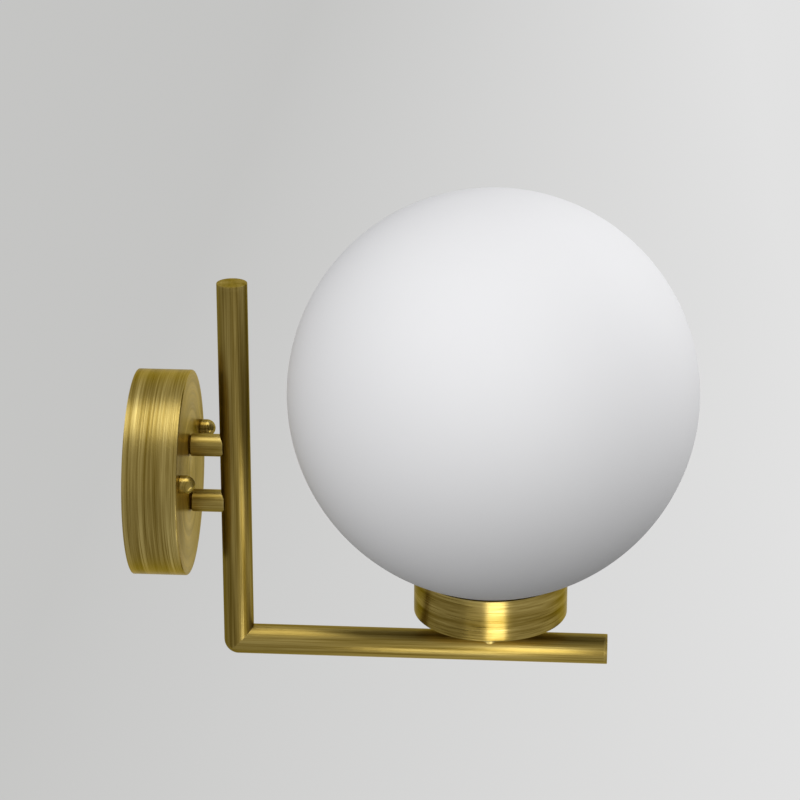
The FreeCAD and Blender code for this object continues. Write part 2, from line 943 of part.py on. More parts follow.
def end_caps():
    riser_end = mm.riser_height - mm.end_cap_thickness
    arm_end = mm.arm_reach - mm.end_cap_thickness
    return [
        end_cap("riser_end_cap", 0, -riser_reach, riser_end, "up"),
        end_cap("arm_end_cap", 0, -arm_end, -mm.arm_drop, "out"),
    ]


# ---------------------------------------------------------------- neck, cup and globe fixings


def arm_neck():
    """A turned boss, saddle-cut to the arm and threaded for the stem nipple."""
    base = -mm.arm_drop
    height = cup_base + mm.arm_drop
    neck = cut(
        cylinder(mm.neck_diameter / 2, height, 0, -mm.globe_reach, base),
        cylinder(stem_radius + mm.thread_clearance, height, 0, -mm.globe_reach, base),
        cylinder(tube_radius, mm.tube_diameter, 0, tube_radius - mm.globe_reach, base, "out"),
    )
    return finish(neck, "arm_neck")


def stem_nipple():
    return turned("stem_nipple", ring(mm.stem_nipple_bore / 2, stem_radius, stem_foot, stem_top))


def ring(inner, outer, low, high):
    return [(inner, low), (outer, low), (outer, high), (inner, high)]


def globe_cup():
    edge = mm.cup_edge_radius
    bore = stem_radius + mm.slip_clearance
    return turned(
        "globe_cup",
        [
            (bore, cup_base),
            (cup_radius - edge, cup_base),
            (cup_radius, cup_base + edge, edge),
            (cup_radius, cup_rim),
            (cup_bore_radius, cup_rim),
            (cup_bore_radius, cup_floor),
            (bore, cup_floor),
        ],
    )


def globe_spring():
    """One spring sheet: a hub and three leaves that press on the inside of the globe's neck."""
    body = new_body("globe_spring", y=-mm.globe_reach)
    sheet_top = cup_floor + mm.spring_thickness
    revolve(body, ring(stem_radius + mm.slip_clearance, mm.spring_hub_diameter / 2,
                       cup_floor, sheet_top))
    bulge = globe_mouth_radius - mm.soft_clearance
    heel = (mm.spring_foot_reach + bulge) / 2
    tip = bulge - mm.spring_tip_setback
    leaf = mm.spring_thickness
    start = mm.spring_hub_diameter / 2 - leaf
    side_view = sketch_on(body, "XZ_Plane")
    outline(
        side_view,
        [
            (mm.spring_foot_reach, cup_floor),
            (heel, cup_floor + mm.spring_heel_rise),
            (bulge, cup_floor + mm.spring_bulge_rise),
            (tip, cup_floor + mm.spring_height),
            (tip - leaf, cup_floor + mm.spring_height),
            (bulge - leaf, cup_floor + mm.spring_bulge_rise),
            (heel - leaf, cup_floor + mm.spring_heel_rise),
            (mm.spring_foot_reach - leaf, sheet_top),
            (start, sheet_top),
            (start, cup_floor),
        ],
    )
    leaf_pad = pad_both_ways(body, side_view, mm.spring_width)
    doc.recompute()
    pattern = body.newObject("PartDesign::PolarPattern", "PolarPattern")
    pattern.Originals = [leaf_pad]
    pattern.Axis = (side_view, ["V_Axis"])
    pattern.Angle = 360
    pattern.Occurrences = SPRING_ARMS
    body.Tip = pattern
    return body


def stem_washer():
    low = cup_floor + mm.spring_thickness
    high = low + mm.toothed_washer_thickness
    bore = stem_radius + mm.slip_clearance
    return turned("stem_washer", ring(bore, mm.stem_washer_diameter / 2, low, high))


def stem_nut():
    low = cup_floor + mm.spring_thickness + mm.toothed_washer_thickness
    bore = stem_radius + mm.thread_clearance
    item = nut(mm.stem_nut_width, mm.stem_nut_height, bore, 0, -mm.globe_reach, low, "up")
    return finish(item, "stem_nut")


def globe_gasket():
    outer = cup_bore_radius - mm.soft_clearance
    inner = outer - mm.gasket_width
    return turned("globe_gasket",
                  ring(inner, outer, cup_floor, cup_floor + mm.gasket_thickness))


def globe():
    """White glass ball with a straight neck that drops into the cup."""
    outer_shoulder = globe_centre - root(
        globe_radius * globe_radius - globe_neck_radius * globe_neck_radius
    )
    inner_shoulder = globe_centre - root(
        globe_bore_radius * globe_bore_radius - globe_mouth_radius * globe_mouth_radius
    )
    return turned(
        "globe",
        [
            (globe_mouth_radius, globe_foot),
            (globe_neck_radius, globe_foot),
            (globe_neck_radius, outer_shoulder),
            (globe_radius, globe_centre, globe_radius),
            (0, globe_centre + globe_radius, globe_radius),
            (0, globe_centre + globe_bore_radius),
            (globe_bore_radius, globe_centre, -globe_bore_radius),
            (globe_mouth_radius, inner_shoulder, -globe_bore_radius),
        ],
    )


# ---------------------------------------------------------------- lampholder


def lampholder_cap():
    """Lower half of the lampholder, screwed on the stem nipple."""
    base = holder_base
    bore = stem_radius + mm.thread_clearance
    ledge_radius = holder_bore_radius - mm.holder_ledge_width
    return turned(
        "lampholder_cap",
        [
            (bore, base),
            (mm.holder_foot_diameter / 2, base),
            (holder_radius, base + mm.holder_cone_rise),
            (holder_radius, base + mm.holder_cap_height),
            (holder_bore_radius, base + mm.holder_cap_height),
            (holder_bore_radius, core_base),
            (ledge_radius, core_base),
            (ledge_radius, base + mm.holder_inner_cone_rise),
            (mm.holder_foot_diameter / 2 - mm.holder_floor, base + mm.holder_floor),
            (bore, base + mm.holder_floor),
        ],
    )


def lampholder_core():
    """Ceramic disc on the cap's ledge, which carries the contacts."""
    radius = holder_bore_radius - mm.slip_clearance
    return turned(
        "lampholder_core",
        [(0, core_base), (radius, core_base), (radius, core_top), (0, core_top)],
    )


def lampholder_skirt():
    """Upper half of the lampholder, round the screw shell."""
    low = holder_base + mm.holder_cap_height
    high = holder_base + mm.holder_height
    rim_radius = mm.holder_rim_opening / 2
    edge = mm.holder_edge_radius
    return turned(
        "lampholder_skirt",
        [
            (holder_bore_radius, low),
            (holder_radius, low),
            (holder_radius, high - edge),
            (holder_radius - edge, high, edge),
            (rim_radius, high),
            (rim_radius, high - mm.holder_rim_thickness),
            (holder_bore_radius, high - mm.holder_rim_thickness),
        ],
    )


def lampholder_shell():
    """Brass screw shell that takes the bulb's cap, on the core."""
    bore = mm.shell_bore / 2
    outer = bore + mm.shell_thickness
    seat = core_top + mm.shell_thickness
    return turned(
        "lampholder_shell",
        [
            (mm.shell_seat_opening / 2, core_top),
            (outer, core_top),
            (outer, core_top + mm.shell_height),
            (bore, core_top + mm.shell_height),
            (bore, seat),
            (mm.shell_seat_opening / 2, seat),
        ],
    )


def lampholder_contact():
    """Sprung tongue under the bulb's tip."""
    body = new_body("lampholder_contact", y=-mm.globe_reach)
    half = mm.contact_half_length
    bend = mm.contact_bend
    leaf = mm.contact_thickness
    side_view = sketch_on(body, "XZ_Plane")
    outline(
        side_view,
        [
            (-half, core_top),
            (-bend, core_top),
            (bend, core_top + mm.contact_rise),
            (bend, core_top + mm.contact_rise + leaf),
            (-bend - leaf, core_top + leaf),
            (-half, core_top + leaf),
        ],
    )
    pad_both_ways(body, side_view, mm.contact_width)
    return body


def holder_terminals():
    """Two brass clamps under the core, with their screws."""
    size = mm.holder_terminal_size
    low = core_base - mm.holder_terminal_height
    middle = core_base - mm.holder_terminal_height / 2
    hole = mm.wire_diameter / 2 + mm.thread_clearance
    screw_radius = mm.holder_screw_diameter / 2
    length = size / 2 + mm.holder_screw_proud
    clamps = []
    screws = []
    for side in (1, -1):
        x = side * mm.holder_terminal_across
        start = x if side > 0 else x - length
        clamps.append(cut(
            block(size, size, mm.holder_terminal_height,
                  x - size / 2, -mm.globe_reach - size / 2, low),
            cylinder(hole, mm.holder_terminal_height, x, -mm.globe_reach, low),
            cylinder(screw_radius + mm.thread_clearance, length,
                     start, -mm.globe_reach, middle, "side"),
        ))
        screws.append(cut(
            cylinder(screw_radius, length, start, -mm.globe_reach, middle, "side"),
            cylinder(hole, mm.holder_terminal_height, x, -mm.globe_reach, low),
        ))
    return [group("lampholder_terminals", clamps), group("lampholder_terminal_screws", screws)]


# ---------------------------------------------------------------- bulb


def bulb_cap():
    """Screw cap; its thread is drawn as rings."""
    crest = bulb_cap_radius
    valley = crest - mm.bulb_thread_depth
    wall = mm.bulb_cap_wall
    half_pitch = mm.bulb_thread_pitch / 2
    first = bulb_cap_foot + half_pitch
    outer = [(valley, bulb_cap_foot)]
    inner = [(valley - wall, bulb_cap_foot)]
    for turn in range(THREAD_CRESTS):
        rise = first + turn * mm.bulb_thread_pitch
        outer += [(crest, rise), (valley, rise + half_pitch)]
        inner += [(crest - wall, rise), (valley - wall, rise + half_pitch)]
    outer += [(crest, bulb_cap_head)]
    inner += [(crest - wall, bulb_cap_head)]
    return turned("bulb_cap", outer + inner[::-1])


def bulb_foot():
    """Centre contact and the insulator that sets it in the cap."""
    tip = mm.bulb_tip_diameter / 2
    seat = bulb_tip_height + mm.bulb_tip_thickness
    cap_bore = bulb_cap_radius - mm.bulb_thread_depth
    return [
        turned("bulb_tip", [(0, bulb_tip_height), (tip - mm.bulb_tip_chamfer, bulb_tip_height),
                            (tip, seat), (0, seat)]),
        turned("bulb_insulator", [(0, seat), (tip, seat), (cap_bore, bulb_cap_foot),
                                  (0, bulb_cap_foot)]),
    ]


def bulb_housing():
    """Plastic cone between the cap and the dome."""
    wall = mm.bulb_wall
    low = mm.bulb_shoulder_diameter / 2
    hollow = mm.bulb_flare_radius
    return turned(
        "bulb_housing",
        [
            (low - wall, bulb_cap_head, hollow + wall),
            (low, bulb_cap_head),
            (bulb_joint_radius, bulb_joint, -hollow),
            (bulb_joint_radius - wall, bulb_joint),
        ],
    )


def bulb_board():
    """Light board, set in the top of the housing."""
    radius = bulb_joint_radius - mm.bulb_wall - mm.soft_clearance
    low = bulb_joint - mm.bulb_board_thickness
    return turned(
        "bulb_board",
        [(0, low), (radius - mm.bulb_board_taper, low), (radius, bulb_joint), (0, bulb_joint)],
    )


def bulb_dome():
    """White dome of the bulb."""
    inner = bulb_radius - mm.bulb_wall
    inner_joint = root(inner * inner - mm.bulb_joint_drop * mm.bulb_joint_drop)
    return turned(
        "bulb_dome",
        [
            (inner_joint, bulb_joint, -inner),
            (bulb_joint_radius, bulb_joint),
            (bulb_radius, bulb_centre, bulb_radius),
            (0, bulb_centre + bulb_radius, bulb_radius),
            (0, bulb_centre + inner),
            (inner, bulb_centre, -inner),
        ],
    )


# ---------------------------------------------------------------- wires


def lamp_wire(label, side, pole):
    """Terminal block, lower standoff, riser, arm, stem nipple, lampholder."""
    across = side * mm.wire_pair_spacing / 2
    pole_x = pole * mm.pole_pitch
    clamp_x = side * mm.holder_terminal_across
    bend = mm.wire_bend_radius
    entry = mm.wire_entry_radius
    route = [
        (pole_x, -pole_depth, mm.block_rise),
        (pole_x, -pole_depth, mm.block_rise - mm.block_height),
        (across, -pole_depth, mm.wire_gather_rise - standoff_rise),
        (across, -pole_depth, -standoff_rise),
        (across, -riser_reach, -standoff_rise),
        (across, -riser_reach, -mm.arm_drop),
        (across, -mm.globe_reach, -mm.arm_drop),
        (across, -mm.globe_reach, holder_base + mm.holder_floor),
        (clamp_x, -mm.globe_reach, holder_base + mm.holder_floor + mm.wire_spread_rise),
        (clamp_x, -mm.globe_reach, core_base - mm.soft_clearance),
    ]
    return insulated_wire(label, route, [entry, entry, entry, bend, bend, bend, bend, bend])


def earth_wire(barrel):
    """From the block's earth pole to the ring terminal."""
    pole_x = -mm.pole_pitch
    barrel_x, barrel_y, barrel_z = barrel
    route = [
        (pole_x, -pole_depth, mm.block_rise),
        (pole_x, -pole_depth, mm.block_rise - mm.block_height),
        (barrel_x, barrel_y, barrel_z + mm.ring_barrel_length),
        (barrel_x, barrel_y, barrel_z),
    ]
    return insulated_wire("earth_wire", route, [mm.wire_entry_radius, mm.wire_entry_radius])


# ---------------------------------------------------------------- build, check and write


def build_all():
    earth_pieces, barrel = earth_stack()
    return [
        mounting_plate(), canopy_studs(), stud_lock_nuts(), canopy(), dome_nuts(),
        *earth_pieces,
        terminal_block(), terminal_inserts(), terminal_screws(), terminal_block_screw(),
        *standoffs(), *standoff_nipples(), standoff_washers(), standoff_nuts(),
        riser_tube(), arm_tube(), *end_caps(),
        arm_neck(), stem_nipple(), globe_cup(), globe_spring(), stem_washer(), stem_nut(),
        globe_gasket(), globe(),
        lampholder_cap(), lampholder_core(), lampholder_skirt(), lampholder_shell(),
        lampholder_contact(), *holder_terminals(),
        bulb_cap(), *bulb_foot(), bulb_housing(), bulb_board(), bulb_dome(),
        lamp_wire("live_wire", 1, 1), lamp_wire("neutral_wire", -1, 0), earth_wire(barrel),
    ]


def check(pieces):
    """Stop if anything in the document failed to build."""
    for item in doc.Objects:
        if "Invalid" in item.State or "Error" in item.State:
            raise RuntimeError(f"{item.Name} ({item.Label}) failed: {item.State}")
    for piece in pieces:
        if piece.Shape.isNull() or not piece.Shape.isValid():
            raise RuntimeError(f"{piece.Label} has no valid shape")


def write(pieces):
    os.makedirs("parts", exist_ok=True)
    for piece in pieces:
        piece.Shape.exportStep(f"parts/{piece.Label}.step")
        box = piece.Shape.BoundBox
        print(f"{piece.Label}: {len(piece.Shape.Solids)} solid, {piece.Shape.Volume:.1f} mm3,",
              f"x {box.XMin:.2f} {box.XMax:.2f}, y {box.YMin:.2f} {box.YMax:.2f},",
              f"z {box.ZMin:.2f} {box.ZMax:.2f}")


pieces = build_all()
doc.recompute()
check(pieces)
write(pieces)
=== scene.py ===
# %% [markdown]
# # A globe wall sconce
# A white glass globe rests in a brass cup, on an L-shaped frame of brass tube that stands off a
# round wall canopy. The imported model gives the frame, and every piece made here lies where its
# solid lies. Lengths are written in millimetres and turned into metres on use.

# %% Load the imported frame
import json
import math

import bpy
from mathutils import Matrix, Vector


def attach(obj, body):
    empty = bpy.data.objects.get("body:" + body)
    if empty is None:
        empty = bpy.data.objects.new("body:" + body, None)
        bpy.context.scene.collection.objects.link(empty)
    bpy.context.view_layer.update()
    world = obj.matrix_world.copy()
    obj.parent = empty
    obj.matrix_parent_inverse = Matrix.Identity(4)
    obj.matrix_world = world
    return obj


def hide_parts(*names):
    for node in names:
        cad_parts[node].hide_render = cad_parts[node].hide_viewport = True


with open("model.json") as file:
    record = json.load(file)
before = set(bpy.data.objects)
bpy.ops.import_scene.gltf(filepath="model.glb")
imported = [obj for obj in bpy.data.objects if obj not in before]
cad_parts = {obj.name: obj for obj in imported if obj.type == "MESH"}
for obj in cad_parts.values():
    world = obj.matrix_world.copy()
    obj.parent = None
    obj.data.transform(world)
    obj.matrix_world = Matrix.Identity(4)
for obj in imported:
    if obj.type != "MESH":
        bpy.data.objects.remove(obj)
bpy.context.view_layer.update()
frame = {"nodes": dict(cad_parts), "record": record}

MM = 0.001
REACH, RISER, ARM = -175.3, -48.8, -89.4      # the globe's and riser's y, the arm's z, in mm
TUBE_RADIUS, TUBE_WALL, TUBE_TOP, TUBE_END = 7.5, 1.5, 99, -234
CANOPY_RADIUS, CANOPY_FACE = 50.8, 26.4
NUT_RADIUS, NUT_SIDE, NUT_RISE = 4.4, 38, 9
SLEEVE_RADIUS, SLEEVE_LENGTH, SLEEVE_RISE = 5.6, 16.7, 14.75
CUP_RADIUS, CUP_FLOOR, CUP_RIM = 38.15, -69.6, -48.1
GLOBE_CENTRE, GLOBE_RADIUS, NECK_RADIUS, GLOBE_WALL = 45.24, 100, 35, 3

# %% [markdown]
# ## Camera
# The photograph was taken from the light's right-hand side, a little above it, with a long lens.
# The camera's turn, height and distance were fitted to the edges of the tubes, canopy and cup.

# %% Set up the camera
AZIMUTH, ELEVATION, DISTANCE = math.radians(-86.0), math.radians(20.53), 1.4076
aim = Vector((0, -0.13005, 0.04086))
back = Vector((math.sin(AZIMUTH) * math.cos(ELEVATION),
               -math.cos(AZIMUTH) * math.cos(ELEVATION), math.sin(ELEVATION)))
camera_data = bpy.data.cameras.new("photo_camera")
camera_data.lens = 130.1
camera_data.sensor_width = 36
camera = bpy.data.objects.new("photo_camera", camera_data)
bpy.context.scene.collection.objects.link(camera)
camera.location = aim + back * DISTANCE
camera.rotation_euler = back.to_track_quat("Z", "Y").to_euler()
bpy.context.scene.camera = camera
print("camera at", [round(value, 3) for value in camera.location])


# %% [markdown]
# ## Node helpers
# Each finish is a small tree of shader nodes. One function adds a node with its settings and
# wires, so that a tree reads from top to bottom.

# %% Helpers for node trees
def node(tree, kind, wires=None, **settings):
    """Add a node; wires maps a socket's name or number to a value or to another output."""
    made = tree.nodes.new(kind)
    for name, value in settings.items():
        setattr(made, name, value)
    for key, value in (wires or {}).items():
        if isinstance(value, bpy.types.NodeSocket):
            tree.links.new(value, made.inputs[key])
        else:
            made.inputs[key].default_value = value
    return made


def math_node(tree, operation, first, second=0.0, clamp=False):
    return node(tree, "ShaderNodeMath", {0: first, 1: second}, operation=operation,
                use_clamp=clamp).outputs[0]


def noise(tree, vector, scale, detail=2.0, roughness=0.5):
    return node(tree, "ShaderNodeTexNoise",
                {"Vector": vector, "Scale": scale, "Detail": detail,
                 "Roughness": roughness}).outputs["Fac"]


def spread(tree, value, low, high, to_low=0.0, to_high=1.0):
    """Stretch a value between two limits and clamp it there."""
    return node(tree, "ShaderNodeMapRange",
                {"Value": value, "From Min": low, "From Max": high, "To Min": to_low,
                 "To Max": to_high}).outputs["Result"]


def blend_colours(tree, factor, first, second, how="MIX"):
    mix = node(tree, "ShaderNodeMix", data_type="RGBA", blend_type=how)
    for key, value in ((0, factor), (6, first), (7, second)):
        if isinstance(value, bpy.types.NodeSocket):
            tree.links.new(value, mix.inputs[key])
        else:
            mix.inputs[key].default_value = value
    return mix.outputs[2]


def new_group(name, inputs, outputs):
    """Start a node group with named inputs, each with its type and value, and named outputs."""
    tree = bpy.data.node_groups.new(name, "ShaderNodeTree")
    for label, kind, value in inputs:
        socket = tree.interface.new_socket(label, in_out="INPUT", socket_type=kind)
        if value is not None:
            socket.default_value = value
    for label in outputs:
        tree.interface.new_socket(label, in_out="OUTPUT", socket_type="NodeSocketFloat")
    return tree, tree.nodes.new("NodeGroupInput").outputs, tree.nodes.new("NodeGroupOutput").inputs


def use(tree, group, wires):
    return node(tree, "ShaderNodeGroup", wires, node_tree=group).outputs


FLOAT, VECTOR = "NodeSocketFloat", "NodeSocketVector"
print("node helpers ready")

# %% [markdown]
# ## Brush marks
# The brass was brushed with an abrasive pad: along the tubes, and round and round on the parts
# that were turned in a lathe. Brush marks are long thin scratches, so noise that is stretched
# in the direction of brushing draws them. For turned parts the position is first bent into a
# ring of fixed size, so that the marks close on themselves and have no seam. Both groups give
# the same three outputs: hair, the fine scratches; band, the wide soft streaks; and height.


# %% Brush marks round an axis and along a tube
def finish_brush(tree, fine, wide, outputs):
    hair = noise(tree, fine, 1.0, 3.0, 0.7)
    band = noise(tree, wide, 1.0, 2.0, 0.55)
    tree.links.new(spread(tree, hair, 0.28, 0.72), outputs["Hair"])
    tree.links.new(spread(tree, band, 0.32, 0.68), outputs["Band"])
    both = math_node(tree, "MULTIPLY_ADD", band, 0.5)
    tree.links.new(hair, both.node.inputs[2])
    tree.links.new(both, outputs["Height"])


brush_round, given, made = new_group(
    "brush_marks_round",
    [("Vector", VECTOR, None), ("Turns", FLOAT, 3.0), ("Pitch", FLOAT, 4000.0)],
    ("Hair", "Band", "Height"))
split = node(brush_round, "ShaderNodeSeparateXYZ", {0: given["Vector"]}).outputs
flat = node(brush_round, "ShaderNodeCombineXYZ", {0: split[0], 1: split[1]}).outputs[0]
radius = node(brush_round, "ShaderNodeVectorMath", {0: flat}, operation="LENGTH").outputs["Value"]
ring = node(brush_round, "ShaderNodeVectorMath", {0: flat}, operation="NORMALIZE").outputs[0]
ring = node(brush_round, "ShaderNodeVectorMath", {0: ring, "Scale": given["Turns"]},
            operation="SCALE").outputs[0]
ring = node(brush_round, "ShaderNodeSeparateXYZ", {0: ring}).outputs
across = math_node(brush_round, "MULTIPLY", math_node(brush_round, "ADD", split[2], radius),
                   given["Pitch"])
fine = node(brush_round, "ShaderNodeCombineXYZ", {0: ring[0], 1: ring[1], 2: across}).outputs[0]
wide = node(brush_round, "ShaderNodeVectorMath", {0: fine, 1: (0.45, 0.45, 0.16)},
            operation="MULTIPLY").outputs[0]
finish_brush(brush_round, fine, wide, made)

brush_long, given, made = new_group(
    "brush_marks_long",
    [("Vector", VECTOR, None), ("Length", FLOAT, 25.0), ("Pitch", FLOAT, 4000.0)],
    ("Hair", "Band", "Height"))
split = node(brush_long, "ShaderNodeSeparateXYZ", {0: given["Vector"]}).outputs
fine = node(brush_long, "ShaderNodeCombineXYZ",
            {0: math_node(brush_long, "MULTIPLY", split[0], given["Pitch"]),
             1: math_node(brush_long, "MULTIPLY", split[1], given["Pitch"]),
             2: math_node(brush_long, "MULTIPLY", split[2], given["Length"])}).outputs[0]
wide = node(brush_long, "ShaderNodeVectorMath", {0: fine, 1: (0.16, 0.16, 0.45)},
            operation="MULTIPLY").outputs[0]
finish_brush(brush_long, fine, wide, made)
print("brush marks:", brush_round.name, brush_long.name)

# %% [markdown]
# ## Wear, smudges and grain
# Hands and cloths rub an edge bright, so a mask is made from how sharply the surface turns.
# Smudges are large faint clouds that only change the gloss. Grain is the fine pitting of
# moulded, cast or plated surfaces. They are groups too, because most finishes use them.

# %% Groups for edge wear, smudges and grain
edge_wear, given, made = new_group(
    "edge_wear", [("Vector", VECTOR, None), ("Amount", FLOAT, 1.0), ("Break Up", FLOAT, 900.0)],
    ("Mask",))
sharp = spread(edge_wear, node(edge_wear, "ShaderNodeNewGeometry").outputs["Pointiness"],
               0.51, 0.58)
patchy = spread(edge_wear, noise(edge_wear, given["Vector"], given["Break Up"], 3.0, 0.6),
                0.3, 0.6)
worn = math_node(edge_wear, "MULTIPLY", sharp, patchy)
edge_wear.links.new(math_node(edge_wear, "MULTIPLY", worn, given["Amount"], clamp=True),
                    made["Mask"])

smudges, given, made = new_group(
    "smudges", [("Vector", VECTOR, None), ("Size", FLOAT, 40.0)], ("Cloud", "Print"))
cloud = noise(smudges, given["Vector"], given["Size"], 4.0, 0.55)
smudges.links.new(spread(smudges, cloud, 0.35, 0.7), made["Cloud"])
finer = noise(smudges, given["Vector"], math_node(smudges, "MULTIPLY", given["Size"], 6.0), 2.0)
smudges.links.new(math_node(smudges, "MULTIPLY", spread(smudges, cloud, 0.52, 0.68),
                            spread(smudges, finer, 0.4, 0.62)), made["Print"])

grain, given, made = new_group(
    "fine_grain", [("Vector", VECTOR, None), ("Scale", FLOAT, 3000.0)], ("Grain", "Height"))
pits = noise(grain, given["Vector"], given["Scale"], 3.0, 0.6)
swell = noise(grain, given["Vector"], math_node(grain, "MULTIPLY", given["Scale"], 0.08), 2.0)
grain.links.new(spread(grain, pits, 0.3, 0.7), made["Grain"])
grain.links.new(math_node(grain, "ADD", math_node(grain, "MULTIPLY", pits, 0.35), swell),
                made["Height"])
print("shared groups:", edge_wear.name, smudges.name, grain.name)

# %% [markdown]
# ## Brushed brass
# The brass is a metal with its own olive-gold colour. The hair and band masks make it lighter
# and darker and change its gloss, and the height tilts the surface across the marks. Where hair
# and band are both high, the colour is lifted to pale gold: painted glints along the brush marks.
# A tone below 0.5 darkens a part's colour as painted shade. The highlight is anisotropic: it
# spreads across the marks, which gives the cup its bright upright bar. Each part has its own
# centre and direction, so a function makes one finish for each.

# %% The brass finish
BRASS_DARK = (0.120, 0.078, 0.010, 1)
BRASS_MID = (0.320, 0.224, 0.042, 1)
# Pale gold of rubbed edges, and of the painted glints along the brush marks.
BRASS_PALE_WEAR_AND_GLINT = (0.560, 0.450, 0.175, 1)


def start_material(name, colour):
    material = bpy.data.materials.new(name)
    material.use_nodes = True
    material.diffuse_color = colour
    tree = material.node_tree
    place = node(tree, "ShaderNodeTexCoord").outputs["Object"]
    return material, tree, tree.nodes["Principled BSDF"], place


def set_inputs(tree, shader, wires):
    for key, value in wires.items():
        if isinstance(value, bpy.types.NodeSocket):
            tree.links.new(value, shader.inputs[key])
        else:
            shader.inputs[key].default_value = value


def brushed_brass(name, centre, turn, axis, brush, reach, pitch, roughness=0.34, tone_and_painted_shade=0.5,
                  depth=0.25, spread_turn=0.25, rubbed_edge=0.5, painted_glint_amount=0.6,
                  rim_light=(0.9, 0.78, 0.42, 1)):
    """Brass brushed round, or along, the axis through centre that turn brings upright."""
    material, tree, shader, place = start_material(name, BRASS_MID)
    local = node(tree, "ShaderNodeMapping",
                 {"Vector": place, "Location": [value * MM for value in centre],
                  "Rotation": turn}, vector_type="TEXTURE").outputs[0]
    marks = use(tree, brush, {"Vector": local, 1: reach, "Pitch": pitch})
    wear = use(tree, edge_wear, {"Vector": place, "Amount": rubbed_edge})["Mask"]
    rubbed = use(tree, smudges, {"Vector": place, "Size": 35.0})
    streak = math_node(tree, "MULTIPLY_ADD", marks["Hair"], 0.6)
    tree.links.new(math_node(tree, "MULTIPLY", marks["Band"], 0.4), streak.node.inputs[2])
    # A tone below 0.5 darkens the whole part's colour: painted shade.
    colour = blend_colours(tree, spread(tree, streak, 0, 1, tone_and_painted_shade - 0.4, tone_and_painted_shade + 0.4),
                           BRASS_DARK, BRASS_MID)
    # Where hair and band are both high, the colour is lifted to pale gold: painted glints along
    # the brush marks.
    painted_glints = math_node(tree, "MULTIPLY", marks["Hair"], marks["Band"])
    colour = blend_colours(tree, math_node(tree, "MULTIPLY", painted_glints, painted_glint_amount), colour, BRASS_PALE_WEAR_AND_GLINT)
    colour = blend_colours(tree, wear, colour, BRASS_PALE_WEAR_AND_GLINT)
    gloss = math_node(tree, "ADD", math_node(tree, "MULTIPLY", marks["Hair"], 0.10),
                      math_node(tree, "MULTIPLY", rubbed["Print"], 0.06))
    gloss = math_node(tree, "ADD", gloss, roughness - 0.05)
    bump = node(tree, "ShaderNodeBump", {"Height": marks["Height"], "Strength": depth,
                                         "Distance": 0.00012}).outputs[0]
    tangent = node(tree, "ShaderNodeTangent", direction_type="RADIAL", axis=axis).outputs[0]
    set_inputs(tree, shader, {
        "Base Color": colour, "Metallic": 1.0, "Roughness": gloss, "Normal": bump,
        "Tangent": tangent, "Anisotropic": 0.6, "Anisotropic Rotation": spread_turn,
        "Specular Tint": rim_light})
    return material


UPRIGHT = (0, 0, 0)
LEVEL = (math.radians(90), 0, 0)
# The canopy, cup and riser get a lower tone than the arm, standoffs and nuts: painted shade for
# the darker reflections these parts show.
brass_canopy = brushed_brass("brass_canopy", (0, 0, 0), LEVEL, "Y", brush_round, 0.9, 1900.0,
                             depth=1.0, tone_and_painted_shade=0.34, roughness=0.32, painted_glint_amount=0.9, rubbed_edge=0.2,
                             rim_light=(0.95, 0.8, 0.4, 1))
brass_cup = brushed_brass("brass_cup", (0, REACH, 0), UPRIGHT, "Z", brush_round, 1.6, 1300.0,
                          depth=0.6, tone_and_painted_shade=0.35, roughness=0.3, painted_glint_amount=0.8)
brass_neck = brushed_brass("brass_neck", (0, REACH, 0), UPRIGHT, "Z", brush_round, 2.0, 2500.0)
brass_riser = brushed_brass("brass_riser", (0, RISER, 0), UPRIGHT, "Z", brush_long, 14.0, 1700.0,
                            spread_turn=0.0, rubbed_edge=0.1, tone_and_painted_shade=0.3)
brass_arm = brushed_brass("brass_arm", (0, 0, ARM), LEVEL, "Y", brush_long, 14.0, 1700.0,
                          spread_turn=0.0, rubbed_edge=0.1)
brass_standoff = brushed_brass("brass_standoff", (0, 0, 0), LEVEL, "Y", brush_long, 40.0, 2600.0,
                               spread_turn=0.0, depth=0.15, rubbed_edge=0.4)
brass_nut = brushed_brass("brass_nut", (NUT_SIDE, 0, NUT_RISE), LEVEL, "Y", brush_round, 1.5,
                          3000.0, roughness=0.25, depth=0.1, rubbed_edge=0.2)
print("brass finishes:", len([m for m in bpy.data.materials if m.name.startswith("brass")]))

# %% [markdown]
# ## Opal glass
# Opal glass is white all through and scatters light, with a satin skin that gives only a soft
# sheen. Its colour is nearly even: faint clouds and a very shallow ripple from blowing keep it
# from looking like paint.

# %% The globe's glass
opal, tree, shader, place = start_material("opal_skin", (0.86, 0.86, 0.85, 1))
cloud = use(tree, smudges, {"Vector": place, "Size": 9.0})
pitted = use(tree, grain, {"Vector": place, "Scale": 1400.0})
white = blend_colours(tree, spread(tree, cloud["Cloud"], 0, 1, 0, 0.5),
                      (0.858, 0.858, 0.868, 1), (0.832, 0.832, 0.845, 1))
satin = math_node(tree, "ADD", math_node(tree, "MULTIPLY", cloud["Print"], 0.05),
                  math_node(tree, "MULTIPLY_ADD", pitted["Grain"], 0.04))
satin = math_node(tree, "ADD", satin, 0.46)
ripple = node(tree, "ShaderNodeBump", {"Height": pitted["Height"], "Strength": 0.05,
                                       "Distance": 0.0003}).outputs[0]
set_inputs(tree, shader, {"Base Color": white, "Roughness": satin, "Normal": ripple,
                          "Specular IOR Level": 0.3})
print("glass finish:", opal.name)


# %% [markdown]
# ## The hidden parts' finishes
# Zinc plating, spring steel, bare brass and nickel are metals with a plated skin: fine grain,
# faint clouds and bright edges. Nylon, phenolic, ceramic, silicone and the bulb's plastic are
# moulded: an even colour with a fine skin, slightly duller where it was handled. Two functions
# make them from the shared groups, each with its own colours and values.

